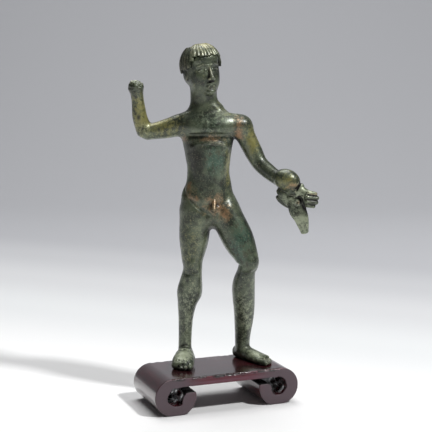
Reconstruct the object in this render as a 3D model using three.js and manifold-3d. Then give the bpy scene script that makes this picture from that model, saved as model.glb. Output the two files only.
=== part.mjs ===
// A small cast bronze of a striding nude hero on a carved hardwood scroll stand, in millimetres, +Z up.
// The figure is one casting: right hand broken to a stump, a lion pelt over the left forearm.
// Its form is a distance field, meshed on a grid whose lines crowd together at the head, hand and feet.
import * as THREE from "three";
import { mergeVertices } from "three/addons/utils/BufferGeometryUtils.js";
import { triTable } from "three/addons/objects/MarchingCubes.js";
import Module from "manifold-3d";

// Driving dimensions of the stand: a slab whose ends curl under into two scrolls
const stand = {
  length: 55,
  depth: 25.6,
  height: 13.2,
  slab: 3.1,
  eyeX: 19.7, // centre of each scroll's hollow
  eyeZ: 6.6,
  eyeRadius: 3.3,
  tongueX: 12.1, // the inner end of each scroll
  tongueTop: 8.0,
  footIn: 17.6, // each foot's flat runs from here to the start of the outer curl
  softEdge: 0.35,
};

// The figure stands turned on its stand, with its soles this far above the wood
const figureTurn = THREE.MathUtils.degToRad(-21.6);
const soleGap = 0.1;

// The figure's own axes: +X to its left hand, -Y the way it looks, Z from the soles; the crown is at 117
const v = (x, y, z) => new THREE.Vector3(x, y, z);
const rightHip = v(-7.2, 5.8, 56);
const leftHip = v(3.4, 6.2, 56);
const headCentre = v(-4.8, 4.2, 107.6);
const headTurn = { yaw: 27, roll: -8, pitch: 3 }; // degrees: to its left, towards its right shoulder, up

// Each sole: back of the heel, heading in degrees from straight ahead, inner side; then how the foot swells
const rightSole = { heel: v(-10.7, 9.2, 0), heading: -5, inner: 1, length: 18.2, width: 7.6 };
const leftSole = { heel: v(7.0, 15.2, 0), heading: 43, inner: -1, length: 20.8, width: 7.4 };
const rightSwell = { instep: 4.0, plump: 1.4 };
const leftSwell = { instep: 2.7, plump: 1.05 };

// How many triangles the body keeps once its surface has been simplified; the hair and stand come on top
const bodyFaces = 6600;

// Distance helpers: every field is negative inside the metal
const clamp = THREE.MathUtils.clamp;

function blend(a, b, k) {
  const h = Math.max(k - Math.abs(a - b), 0) / k;
  return Math.min(a, b) - h * h * k * 0.25;
}

// A rounded body with three half-axes, turned by a quaternion
function ball(centre, radii, turn = new THREE.Quaternion()) {
  const back = turn.clone().invert();
  const [rx, ry, rz] = radii;
  const reach = Math.max(rx, ry, rz);
  const q = v(0, 0, 0);
  return (p) => {
    q.copy(p).sub(centre);
    const away = q.length() - reach;
    if (away > 8) return away;
    q.applyQuaternion(back);
    const k0 = Math.hypot(q.x / rx, q.y / ry, q.z / rz);
    const k1 = Math.hypot(q.x / rx ** 2, q.y / ry ** 2, q.z / rz ** 2);
    return k1 < 1e-6 ? -Math.min(rx, ry, rz) : (k0 * (k0 - 1)) / k1;
  };
}

// A round bar whose radius changes from one end to the other
function bar(a, b, ra, rb) {
  const along = b.clone().sub(a);
  const span = along.lengthSq();
  const q = v(0, 0, 0);
  return (p) => {
    q.copy(p).sub(a);
    const t = clamp(q.dot(along) / span, 0, 1);
    q.addScaledVector(along, -t);
    return q.length() - (ra + (rb - ra) * t);
  };
}

// A limb: stations [x, y, z, half width, half depth, turn] joined by a smooth spline; side is the width's
// direction, cap rounds the ends, and square makes the section boxier
function limb(stations, { side = v(1, 0, 0), cap = 0.8, square = 2, steps = 5 } = {}) {
  const path = new THREE.CatmullRomCurve3(stations.map((s) => v(s[0], s[1], s[2])), false, "catmullrom", 0.5);
  const spans = stations.length - 1;
  const mix = (column, t) => {
    const at = clamp(t, 0, 1) * spans;
    const i = Math.min(Math.floor(at), spans - 1);
    const f = at - i;
    const [y0, y1, y2, y3] = [i - 1, i, i + 1, i + 2].map((n) => stations[clamp(n, 0, spans)][column] ?? 0);
    const bent = (2 * y0 - 5 * y1 + 4 * y2 - y3) * f ** 2 + (3 * y1 - y0 - 3 * y2 + y3) * f ** 3;
    return (2 * y1 + (y2 - y0) * f + bent) / 2;
  };
  const count = spans * steps;
  const rings = [];
  for (let n = 0; n <= count; n++) {
    const t = n / count;
    const axis = path.getTangent(t);
    const wide = side.clone().applyAxisAngle(v(0, 0, 1), THREE.MathUtils.degToRad(mix(5, t)));
    wide.addScaledVector(axis, -wide.dot(axis)).normalize();
    const deep = axis.clone().cross(wide);
    rings.push({ at: path.getPoint(t), axis, wide, deep, w: mix(3, t), d: mix(4, t) });
  }
  const q = v(0, 0, 0);
  const along = v(0, 0, 0);
  return (p) => {
    let best = Infinity;
    let ring = 0;
    let share = 0;
    for (let n = 0; n < count; n++) {
      const a = rings[n];
      along.copy(rings[n + 1].at).sub(a.at);
      q.copy(p).sub(a.at);
      const t = clamp(q.dot(along) / along.lengthSq(), 0, 1);
      const off = q.addScaledVector(along, -t).lengthSq();
      if (off < best) [best, ring, share] = [off, n, t];
    }
    const a = rings[ring];
    const b = rings[ring + 1];
    const w = a.w + (b.w - a.w) * share;
    const d = a.d + (b.d - a.d) * share;
    if (best > (w + d + 8) ** 2) return Math.sqrt(best) - Math.max(w, d);
    q.copy(p).sub(a.at).addScaledVector(along.copy(b.at).sub(a.at), -share);
    const blendAxis = (key) => a[key].clone().lerp(b[key], share).normalize();
    const parts = [
      [q.dot(blendAxis("wide")), w],
      [q.dot(blendAxis("deep")), d],
      [q.dot(blendAxis("axis")), Math.min(w, d) * cap],
    ];
    let sum = 0;
    for (const [x, r] of parts) sum += Math.abs(x / r) ** square;
    const k = sum ** (1 / square);
    if (k < 0.05) return -Math.min(w, d);
    let slope = 0;
    for (const [x, r] of parts) slope += (Math.abs(x / r) ** (square - 1) / r) ** 2;
    return (k - 1) / (Math.sqrt(slope) * k ** (1 - square));
  };
}

// A tool stroke along a line of points: height raises the surface, and a negative height cuts a groove
function stroke(points, radius, height) {
  const q = v(0, 0, 0);
  const along = v(0, 0, 0);
  const centre = points.reduce((sum, p) => sum.add(p), v(0, 0, 0)).divideScalar(points.length);
  const reach = Math.max(...points.map((p) => p.distanceTo(centre))) + 3 * radius;
  return (p) => {
    if (p.distanceToSquared(centre) > reach * reach) return 0;
    let best = Infinity;
    for (let n = 0; n + 1 < points.length; n++) {
      along.copy(points[n + 1]).sub(points[n]);
      q.copy(p).sub(points[n]);
      q.addScaledVector(along, -clamp(q.dot(along) / along.lengthSq(), 0, 1));
      best = Math.min(best, q.lengthSq());
    }
    return height * Math.exp(-best / (radius * radius));
  };
}

// Joins [field, softness] pairs one after another, then works the surface with the strokes
function sculpt(parts, strokes) {
  return (p) => {
    let d = 1e3;
    for (const [field, soft] of parts) d = blend(d, field(p), soft);
    if (d < 4) for (const s of strokes) d -= s(p);
    return d;
  };
}

// The trunk, from the groin to the root of the neck, with its chest plate and the ledge under it
function trunk() {
  const core = limb(
    [
      [-1.9, 6.2, 54.5, 9.6, 6.2, 12],
      [-2.7, 6.0, 61, 9.9, 6.1, 14],
      [-2.5, 5.7, 66, 8.4, 5.2, 12],
      [-2.55, 5.4, 71, 7.7, 4.8, 9],
      [-2.5, 5.2, 78, 8.3, 5.1, 6],
      [-2.4, 5.1, 84, 9.2, 5.2, 4],
      [-2.4, 5.2, 88.5, 9.2, 4.6, 3],
      [-3.2, 5.3, 92.5, 6.0, 3.6, 3],
    ],
    { square: 2.35, cap: 0.7 },
  );
  const chestPlate = limb(
    [
      [-9.4, 4.2, 88.2, 4.0, 4.2, 0],
      [-6.2, 2.4, 88.7, 4.6, 3.5, 0],
      [-1.9, 1.7, 89.0, 4.7, 3.1, 0],
      [2.6, 2.4, 88.7, 4.6, 3.5, 0],
      [6.0, 4.2, 88.0, 4.0, 4.2, 0],
    ],
    { side: v(0, 0, 1), cap: 0.7, square: 2.8 },
  );
  const belly = limb(
    [
      [-2.2, 3.3, 62, 5.6, 3.7, 10],
      [-2.2, 3.0, 70, 5.8, 3.5, 8],
      [-2.0, 2.9, 79.2, 6.9, 3.7, 5],
    ],
    { square: 2.6, cap: 0.8 },
  );
  return [
    [core, 1],
    [belly, 0.9],
    [chestPlate, 0.8],
    [bar(v(-9.6, 6.4, 83.5), v(-8.4, 6.2, 76), 2.4, 1.6), 2.4], // flank under the right arm
    [ball(v(-7.4, 9.4, 56.4), [5.2, 4.4, 5.2]), 2.2], // right buttock
    [ball(v(3.0, 9.9, 56.4), [5.2, 4.4, 5.2]), 2.2], // left buttock
    [ball(v(-7.8, 8.4, 87.0), [3.6, 2.2, 4.4]), 2.5], // right shoulder blade
    [ball(v(3.8, 8.4, 87.0), [3.6, 2.2, 4.4]), 2.5], // left shoulder blade
  ];
}

// Each leg runs from the hip to the ankle
function legs() {
  return [
    [
      limb([
        [rightHip.x, rightHip.y, rightHip.z, 5.7, 6.0],
        [-7.85, 5.4, 46, 5.4, 5.6],
        [-8.4, 4.6, 39, 4.0, 4.4],
        [-8.4, 4.4, 34.6, 3.5, 3.9],
        [-9.6, 6.0, 26.5, 4.55, 4.4],
        [-10.5, 6.4, 21.5, 3.5, 3.8],
        [-11.0, 6.6, 16, 2.7, 3.0],
        [-11.3, 6.5, 8, 2.4, 2.6],
        [-11.3, 6.3, 3.5, 2.5, 2.9],
      ]),
      2.2,
    ],
    [
      limb([
        [leftHip.x, leftHip.y, leftHip.z, 5.7, 6.0],
        [8.3, 4.6, 46, 5.75, 5.6],
        [11.3, 3.2, 40, 4.4, 4.5],
        [12.1, 3.0, 37.2, 3.75, 4.0],
        [11.4, 3.6, 34.6, 3.3, 3.8],
        [10.4, 6.2, 28, 4.2, 4.3],
        [10.7, 9.1, 17.5, 3.75, 3.5],
        [10.2, 11.0, 8.5, 2.9, 2.9],
        [10.1, 11.6, 3.5, 2.7, 3.0],
      ]),
      2.2,
    ],
  ];
}

// A foot lies flat from heel to toes; its toes fan out from the ball, the big toe on the inner side
function foot({ heel, heading, inner, length, width }, { instep, plump }) {
  const turn = THREE.MathUtils.degToRad(heading);
  const at = (forward, left, up) =>
    v(
      heel.x + forward * length * Math.sin(turn) + left * Math.cos(turn),
      heel.y - forward * length * Math.cos(turn) + left * Math.sin(turn),
      up,
    );
  const station = (forward, up, wide, tall) => [...at(forward, 0, up).toArray(), wide, tall];
  const side = v(Math.cos(turn), Math.sin(turn), 0);
  const half = width / 2;
  const sole = limb(
    [
      station(0.12, 2.0, half * 0.64, 2.3),
      station(0.3, 2.0, half * 0.7, 2.5),
      station(0.5, 1.8, half * 0.92, plump * 2.1),
      station(0.72, 1.3, half, plump * 1.7),
    ],
    { side, cap: 0.9 },
  );
  const parts = [
    [sole, 1.6],
    [bar(at(0.3, 0, instep), at(0.62, 0, 1.9 * plump), 2.2, 1.6), 1.6],
  ];
  const toes = 5;
  for (let n = 0; n < toes; n++) {
    const left = inner * half * (0.76 - n * 0.39);
    const reach = 1 - 0.011 * n * n;
    const thick = n === 0 ? 1.25 : 1;
    parts.push([bar(at(0.7, left, thick), at(reach - thick / length, left, thick), thick, thick), 0.35]);
  }
  return { parts, at };
}

// The raised right arm ends in the worn stump of a fist
function rightArm() {
  return [
    [
      limb(
        [
          [-7.5, 5.4, 88.4, 4.4, 4.0],
          [-12.5, 5.6, 87.7, 4.1, 3.7],
          [-18.5, 5.9, 86.1, 3.4, 3.2],
          [-24.6, 6.0, 85.0, 2.8, 2.9],
        ],
        { side: v(0, 0, 1) },
      ),
      2.0,
    ],
    [
      limb([
        [-25.7, 6.0, 85.3, 2.9, 2.8],
        [-27.3, 5.4, 90.5, 2.7, 2.7],
        [-27.9, 4.4, 96, 2.25, 2.3],
        [-28.3, 3.5, 99.6, 2.35, 2.4],
      ]),
      1.3,
    ],
    [ball(v(-28.5, 3.1, 101.2), [2.85, 2.7, 2.7]), 0.7],
  ];
}

// The lowered left arm reaches out and forwards
function leftArm() {
  return [
    [ball(v(8.4, 5.4, 86.6), [4.4, 4.2, 4.0]), 1.0],
    [
      limb([
        [9.3, 5.4, 86.8, 3.7, 3.8],
        [11.6, 5.2, 82.4, 3.45, 3.6],
        [13.8, 4.8, 78, 3.3, 3.3],
        [16.1, 3.8, 73.9, 2.9, 3.0],
        [19.6, 1.6, 70.7, 2.75, 2.7],
        [23.0, -0.6, 68.4, 2.5, 2.5],
        [28.0, -3.6, 65.0, 2.3, 2.3],
      ]),
      1.0,
    ],
  ];
}

// The pelt is thrown over the forearm: a thick fold, a hanging paw, a shorter lobe behind and a small curl
function pelt() {
  const tilt = (x, y, z) => new THREE.Quaternion().setFromEuler(new THREE.Euler(x, y, z));
  return [
    [ball(v(25.5, -2.2, 68.0), [5.0, 3.7, 3.9], tilt(0, 0.5, -0.45)), 0.6],
    [ball(v(25.9, -2.4, 63.2), [4.9, 2.0, 3.5], tilt(0, 0.75, -0.4)), 1.0],
    [
      limb(
        [
          [28.0, -3.8, 62.4, 3.4, 1.3],
          [29.6, -4.3, 58.4, 3.3, 1.1],
          [30.8, -4.5, 54.2, 2.6, 1.05],
          [31.6, -4.4, 50.2, 1.8, 1.0],
        ],
        { cap: 1.6, square: 2.6 },
      ),
      0.8,
    ],
    [ball(v(25.3, 0.2, 60.2), [4.2, 1.3, 1.8], tilt(0, 0.6, 0)), 0.6],
    [ball(v(29.2, -5.3, 60.4), [1.4, 1.0, 1.6], tilt(0, 0.3, 0)), 0.3],
  ];
}

// The closed left hand: four fingers side by side, bent at the far end, and the thumb on top
function fist() {
  const palm = v(32.1, -5.1, 62.2);
  const along = v(0.78, -0.2, -0.6).normalize();
  const down = v(-0.6, 0, -0.78);
  const at = (forward, low, front) =>
    palm
      .clone()
      .addScaledVector(along, forward)
      .addScaledVector(down, low)
      .add(v(0, -front, 0));
  const lie = new THREE.Quaternion().setFromUnitVectors(v(1, 0, 0), along);
  const parts = [[ball(palm, [4.0, 2.2, 2.7], lie), 0.9]];
  const fingers = 4;
  for (let n = 0; n < fingers; n++) {
    const low = (n - 1.4) * 1.45;
    parts.push([bar(at(-0.6, low, 1.5), at(3.0 - n * 0.3, low, 1.1), 0.95, 1.0), 0.4]);
  }
  parts.push([bar(at(-2.6, -1.3, 1.2), at(0.8, -2.3, 1.2), 1.0, 0.9), 0.5]);
  return parts;
}

// The head is built facing -Y about its own centre, then turned; its face is plain and calm
function head() {
  const deg = THREE.MathUtils.degToRad;
  const turn = new THREE.Quaternion().setFromEuler(
    new THREE.Euler(deg(-headTurn.pitch), deg(headTurn.roll), deg(headTurn.yaw), "YZX"),
  );
  const back = turn.clone().invert();
  const skull = [
    [ball(v(0, 1.0, 1.4), [6.3, 6.8, 6.6]), 1],
    [ball(v(0, -1.4, -3.2), [5.5, 5.0, 6.4]), 1.6], // face and jaw
    [ball(v(0, -4.6, -8.3), [2.1, 1.6, 1.4]), 1.3], // chin
    [ball(v(0, -4.3, 3.6), [4.6, 2.2, 2.4]), 1.2], // forehead
    [bar(v(0, -5.9, 1.4), v(0, -6.9, -2.7), 0.6, 0.8), 0.6], // nose
    [ball(v(0, -6.2, -3.0), [1.3, 0.9, 0.6]), 0.4], // nostrils
    [ball(v(-6.1, 0.9, -0.9), [0.9, 1.5, 2.1]), 0.4], // ears
    [ball(v(6.1, 0.9, -0.9), [0.9, 1.5, 2.1]), 0.4],
  ];
  const marks = [];
  for (const s of [-1, 1]) {
    const side = (x, y, z) => v(s * x, y, z);
    marks.push(stroke([side(0.9, -6.5, 2.0), side(2.7, -6.2, 2.5), side(4.5, -4.6, 1.8)], 0.7, 0.3)); // brow
    marks.push(stroke([side(1.7, -6.6, 0.6), side(3.4, -5.9, 0.6)], 0.95, -0.55)); // eye socket
    marks.push(stroke([side(2.3, -5.6, 0.1), side(2.9, -5.5, 0.1)], 0.7, 0.45)); // eyeball
  }
  marks.push(stroke([v(-1.5, -6.0, -5.1), v(0, -6.9, -4.95), v(1.5, -6.0, -5.1)], 0.5, 0.3)); // upper lip
  marks.push(stroke([v(-1.5, -6.0, -5.55), v(0, -6.8, -5.55), v(1.5, -6.0, -5.55)], 0.3, -0.4)); // mouth
  marks.push(stroke([v(-1.1, -6.0, -6.1), v(0, -6.5, -6.1), v(1.1, -6.0, -6.1)], 0.5, 0.3)); // lower lip
  const plain = sculpt(skull, marks);
  const q = v(0, 0, 0);
  const field = (p) => {
    const away = p.distanceTo(headCentre) - 13;
    return away > 4 ? away : plain(q.copy(p).sub(headCentre).applyQuaternion(back));
  };
  return { field, turn };
}

// The muscles and grooves that show from a step away
function bodyStrokes(rightFoot) {
  const collar = (forward, top) => [
    rightFoot.at(forward + 0.05, -3.2, top - 2.2),
    rightFoot.at(forward, 0, top),
    rightFoot.at(forward + 0.05, 3.2, top - 2.2),
  ];
  return [
    stroke([v(-1.8, -1.5, 92.5), v(-1.9, -2.0, 86)], 1.0, -0.3), // between the breasts
    stroke([v(-8.6, 1.0, 83.6), v(-1.9, -1.2, 84.0), v(4.8, 1.0, 83.6)], 0.8, -0.9), // under the chest plate
    stroke([v(-1.6, -0.8, 79), v(-1.2, -0.6, 66)], 0.8, -0.3), // down the belly
    stroke([v(-1.9, -0.8, 73.2), v(-1.9, -0.8, 72.6)], 0.7, -0.5), // navel
    stroke([v(-11.5, 3.5, 64.5), v(-7.5, -0.3, 59.5), v(-2.6, -1.0, 55.5)], 0.9, -0.55), // right groin
    stroke([v(6.6, 3.2, 64.5), v(3.6, -0.1, 59.5), v(1.2, -1.0, 55.5)], 0.9, -0.55), // left groin
    stroke([v(-2.4, 10.6, 90), v(-2.3, 10.4, 74), v(-2.2, 11.6, 63)], 1.1, -0.7), // spine
    stroke([v(-2.2, 13.4, 61), v(-2.2, 14.0, 50)], 1.0, -1.1), // between the buttocks
    stroke([v(-8.3, 0.4, 37.6), v(-8.4, 0.4, 35.8)], 1.5, 0.45), // right kneecap, and the line below it
    stroke([v(-10.4, 1.2, 33.6), v(-6.4, 1.2, 33.6)], 0.7, -0.3),
    stroke([v(13.2, -0.4, 38.2), v(13.6, -0.2, 36.8)], 1.7, 0.7), // left kneecap, and the line below it
    stroke([v(10.2, 0.2, 34.0), v(14.2, 0.2, 34.6)], 0.8, -0.35),
    stroke([v(-9.0, 1.8, 31), v(-10.9, 3.6, 12)], 1.0, 0.25), // shins
    stroke([v(11.4, 2.2, 31), v(10.9, 7.4, 12)], 1.0, 0.25),
    stroke([v(-5.0, 8.8, 29), v(-5.8, 8.6, 25)], 2.2, 0.6), // inner heads of the calves
    stroke([v(7.2, 9.8, 30), v(7.4, 11.2, 24)], 2.2, 0.6),
    stroke([v(-1.4, 2.6, 94.2), v(4.0, 2.4, 92.2), v(7.4, 3.2, 91.0)], 0.8, 0.3), // collarbones
    stroke([v(-4.8, 2.6, 94.2), v(-9.0, 2.4, 92.0), v(-11.6, 3.2, 91.0)], 0.8, 0.3),
    stroke([v(29.2, -6.4, 60.4), v(29.2, -6.4, 60.0)], 0.6, -0.9), // the curl's hollow
    stroke(collar(0.39, 5.3), 0.6, 0.6), // the raised rim over the right instep, and the groove below it
    stroke(collar(0.46, 4.7), 0.5, -0.45),
  ];
}

// The whole casting, before its soles are cut flat
function casting() {
  const skull = head();
  const neck = limb([
    [-3.4, 6.0, 91, 6.2, 4.0],
    [-4.1, 5.6, 95.5, 5.0, 4.4],
    [-4.3, 5.0, 101, 4.8, 4.6],
  ]);
  const rightFoot = foot(rightSole, rightSwell);
  const leftFoot = foot(leftSole, leftSwell);
  const body = sculpt(
    [
      ...trunk(),
      ...legs(),
      ...rightArm(),
      ...leftArm(),
      [neck, 2.4],
      [skull.field, 1.1],
      ...pelt(),
      ...fist(),
      ...rightFoot.parts,
      ...leftFoot.parts,
      [ball(v(-0.9, 0.2, 57.4), [1.9, 1.7, 1.7]), 0.6],
      [bar(v(-0.3, -0.8, 60.2), v(-0.2, -1.9, 57.2), 0.95, 0.8), 0.4],
    ],
    bodyStrokes(rightFoot),
  );
  return { field: body, turn: skull.turn };
}

// Grid lines along one axis: [from, to, spacing] stretches, run together
function lines(stretches) {
  const out = [stretches[0][0]];
  for (const [from, to, spacing] of stretches) {
    const count = Math.max(1, Math.round((to - from) / spacing));
    for (let n = 1; n <= count; n++) out.push(from + ((to - from) * n) / count);
  }
  return out;
}

// The surface where the field is zero: one vertex for each patch in a cell, one quad for each crossed edge
function skin(field, [xs, ys, zs]) {
  const [nx, ny, nz] = [xs.length, ys.length, zs.length];
  const id = (i, j, k) => i + nx * (j + ny * k);
  const value = new Float64Array(nx * ny * nz);
  const p = v(0, 0, 0);
  for (let k = 0; k < nz; k++)
    for (let j = 0; j < ny; j++)
      for (let i = 0; i < nx; i++) value[id(i, j, k)] = field(p.set(xs[i], ys[j], zs[k]));

  // Corners and edges of a cell, in the order that triTable uses
  const rim = [0, 1, 2, 3];
  const square = [[0, 0], [1, 0], [1, 1], [0, 1]];
  const corner = [0, 1].flatMap((top) => square.map(([a, b]) => [a, b, top]));
  const ends = [
    ...rim.map((n) => [n, (n + 1) % 4]),
    ...rim.map((n) => [4 + n, 4 + ((n + 1) % 4)]),
    ...rim.map((n) => [n, 4 + n]),
  ];
  const around = [
    [[0, 0, 0, 0], [0, -1, 0, 2], [0, -1, -1, 6], [0, 0, -1, 4]],
    [[0, 0, 0, 3], [0, 0, -1, 7], [-1, 0, -1, 5], [-1, 0, 0, 1]],
    [[0, 0, 0, 8], [-1, 0, 0, 9], [-1, -1, 0, 10], [0, -1, 0, 11]],
  ];
  const valueAt = (i, j, k, [a, b, c]) => value[id(i + a, j + b, k + c)];
  const points = [];
  const owner = new Map();
  const grid = (i, j, k, c) => v(xs[i + corner[c][0]], ys[j + corner[c][1]], zs[k + corner[c][2]]);
  for (let k = 0; k + 1 < nz; k++)
    for (let j = 0; j + 1 < ny; j++)
      for (let i = 0; i + 1 < nx; i++) {
        let shape = 0;
        corner.forEach((c, n) => (shape |= valueAt(i, j, k, c) < 0 ? 1 << n : 0));
        if (shape === 0 || shape === 255) continue;
        const patch = ends.map((_, n) => n);
        const find = (n) => (patch[n] === n ? n : (patch[n] = find(patch[n])));
        const used = new Set();
        for (let n = shape * 16; triTable[n] >= 0; n += 3) {
          for (const e of [0, 1, 2]) used.add(triTable[n + e]);
          patch[find(triTable[n + 1])] = find(triTable[n]);
          patch[find(triTable[n + 2])] = find(triTable[n]);
        }
        const groups = new Map();
        for (const e of used) {
          const root = find(e);
          if (!groups.has(root)) groups.set(root, []);
          groups.get(root).push(e);
        }
        for (const edges of groups.values()) {
          const mean = v(0, 0, 0);
          for (const e of edges) {
            const [a, b] = ends[e].map((c) => grid(i, j, k, c));
            const [fa, fb] = ends[e].map((c) => valueAt(i, j, k, corner[c]));
            mean.add(a.lerp(b, clamp(fa / (fa - fb), 0.04, 0.96)));
            owner.set(id(i, j, k) * 12 + e, points.length);
          }
          points.push(mean.divideScalar(edges.length));
        }
      }

  const triangles = [];
  const step = [[1, 0, 0], [0, 1, 0], [0, 0, 1]];
  for (let k = 1; k + 1 < nz; k++)
    for (let j = 1; j + 1 < ny; j++)
      for (let i = 1; i + 1 < nx; i++)
        for (let axis = 0; axis < 3; axis++) {
          const here = value[id(i, j, k)] < 0;
          const next = valueAt(i, j, k, step[axis]) < 0;
          if (here === next) continue;
          const quad = around[axis].map(([a, b, c, e]) => owner.get(id(i + a, j + b, k + c) * 12 + e));
          if (!here) quad.reverse();
          const [a, b, c, d] = quad;
          const straight = points[a].distanceToSquared(points[c]) <= points[b].distanceToSquared(points[d]);
          triangles.push(...(straight ? [a, b, c, a, c, d] : [a, b, d, b, c, d]));
        }
  const geometry = new THREE.BufferGeometry().setFromPoints(points);
  geometry.setIndex(triangles);
  return geometry;
}

// Drops triangles where the surface is nearly flat: the edge that moves it least is collapsed, over and over
function simplify(geometry, target, weightAt) {
  const at = geometry.getAttribute("position");
  const points = Array.from({ length: at.count }, (_, n) => v(0, 0, 0).fromBufferAttribute(at, n));
  const corners = [];
  for (let n = 0; n < geometry.index.count; n += 3) {
    corners.push([0, 1, 2].map((c) => geometry.index.getX(n + c)));
  }
  const touching = points.map(() => new Set());
  corners.forEach((face, f) => face.forEach((n) => touching[n].add(f)));
  const normalOf = (a, b, c) => b.clone().sub(a).cross(c.clone().sub(a));

  // Each vertex sums its planes' squared distances, as the ten numbers of a symmetric 4 by 4 matrix
  const quadrics = points.map(() => new Float64Array(10));
  for (const face of corners) {
    const [a, b, c] = face.map((n) => points[n]);
    const n = normalOf(a, b, c);
    const area = n.length() || 1e-12;
    n.divideScalar(area);
    const plane = [n.x, n.y, n.z, -n.dot(a)];
    const weight = area * weightAt(a);
    const products = plane.flatMap((x, i) => plane.slice(i).map((y) => weight * x * y));
    for (const m of face) products.forEach((x, slot) => (quadrics[m][slot] += x));
  }
  const errorAt = (q, p) => {
    const [x, y, z] = [p.x, p.y, p.z];
    const square = q[0] * x * x + q[4] * y * y + q[7] * z * z;
    const cross = q[1] * x * y + q[2] * x * z + q[5] * y * z + q[3] * x + q[6] * y + q[8] * z;
    return square + 2 * cross + q[9];
  };
  const best = (a, b) => {
    const q = quadrics[a].map((x, n) => x + quadrics[b][n]);
    const middle = points[a].clone().add(points[b]).multiplyScalar(0.5);
    const m = new THREE.Matrix3().set(q[0], q[1], q[2], q[1], q[4], q[5], q[2], q[5], q[7]);
    const choices = [middle, points[a], points[b]];
    const size = q[0] + q[4] + q[7];
    if (Math.abs(m.determinant()) > 1e-4 * size ** 3) {
      const exact = v(-q[3], -q[6], -q[8]).applyMatrix3(m.clone().invert());
      if (exact.distanceTo(middle) < 2 * points[a].distanceTo(points[b])) choices.unshift(exact);
    }
    const errors = choices.map((p) => errorAt(q, p));
    const pick = errors.indexOf(Math.min(...errors));
    const stretch = 1e-4 * points[a].distanceToSquared(points[b]);
    return { at: choices[pick], cost: Math.max(errors[pick], 0) + stretch };
  };

  // A heap of edges, cheapest first; an edge whose ends have changed since is skipped
  const heap = [];
  const stamp = new Int32Array(points.length);
  const push = (item) => {
    let n = heap.push(item) - 1;
    while (n > 0 && heap[(n - 1) >> 1].cost > item.cost) {
      heap[n] = heap[(n - 1) >> 1];
      n = (n - 1) >> 1;
    }
    heap[n] = item;
  };
  const pop = () => {
    const top = heap[0];
    const last = heap.pop();
    if (heap.length === 0) return top;
    let n = 0;
    for (let child = 1; child < heap.length; child = 2 * n + 1) {
      if (child + 1 < heap.length && heap[child + 1].cost < heap[child].cost) child++;
      if (heap[child].cost >= last.cost) break;
      heap[n] = heap[child];
      n = child;
    }
    heap[n] = last;
    return top;
  };
  const offer = (a, b) => push({ a, b, mark: stamp[a] + stamp[b], ...best(a, b) });
  const neighbours = (n) => new Set([...touching[n]].flatMap((f) => corners[f].filter((m) => m !== n)));
  points.forEach((_, a) => neighbours(a).forEach((b) => a < b && offer(a, b)));

  let left = corners.length;
  while (left > target && heap.length) {
    const { a, b, mark, at: spot } = pop();
    if (mark !== stamp[a] + stamp[b] || !touching[a].size || !touching[b].size) continue;
    const aroundB = neighbours(b);
    if (!aroundB.has(a) || [...neighbours(a)].filter((n) => aroundB.has(n)).length !== 2) continue;
    const turns = [a, b].some((end) =>
      [...touching[end]].some((f) => {
        if (corners[f].includes(a) && corners[f].includes(b)) return false;
        const before = normalOf(...corners[f].map((n) => points[n]));
        const after = normalOf(...corners[f].map((n) => (n === end ? spot : points[n])));
        return after.dot(before) < 0.3 * after.length() * before.length();
      }),
    );
    if (turns) continue;
    points[a].copy(spot);
    quadrics[b].forEach((x, n) => (quadrics[a][n] += x));
    for (const f of touching[b]) {
      if (corners[f].includes(a)) {
        for (const n of corners[f]) if (n !== b) touching[n].delete(f);
        left--;
      } else {
        corners[f][corners[f].indexOf(b)] = a;
        touching[a].add(f);
      }
    }
    touching[b].clear();
    stamp[b] = -1e9;
    stamp[a]++;
    for (const n of neighbours(a)) offer(a, n);
  }
  const kept = new Set(touching.flatMap((set) => [...set]));
  const out = new THREE.BufferGeometry().setFromPoints(points);
  out.setIndex([...kept].flatMap((f) => corners[f]));
  return out;
}

// The hair: a cap of locks combed out from the crown, each lock a ridge that ends in a rounded tip
const hair = {
  locks: 34,
  crown: v(0, 0.9, 1.6), // the middle of the cap, in the head's own axes
  radii: [6.75, 7.3, 7.6],
  ridge: 0.85, // how far a lock stands out at the hem
  fringe: 69, // degrees from the crown down to the hem: over the brow, before the ears and at the nape
  temple: 104,
  nape: 116,
  templeFrom: 46, // degrees round from the face's middle: the fringe turns down between these two
  templeTo: 66,
};

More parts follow.
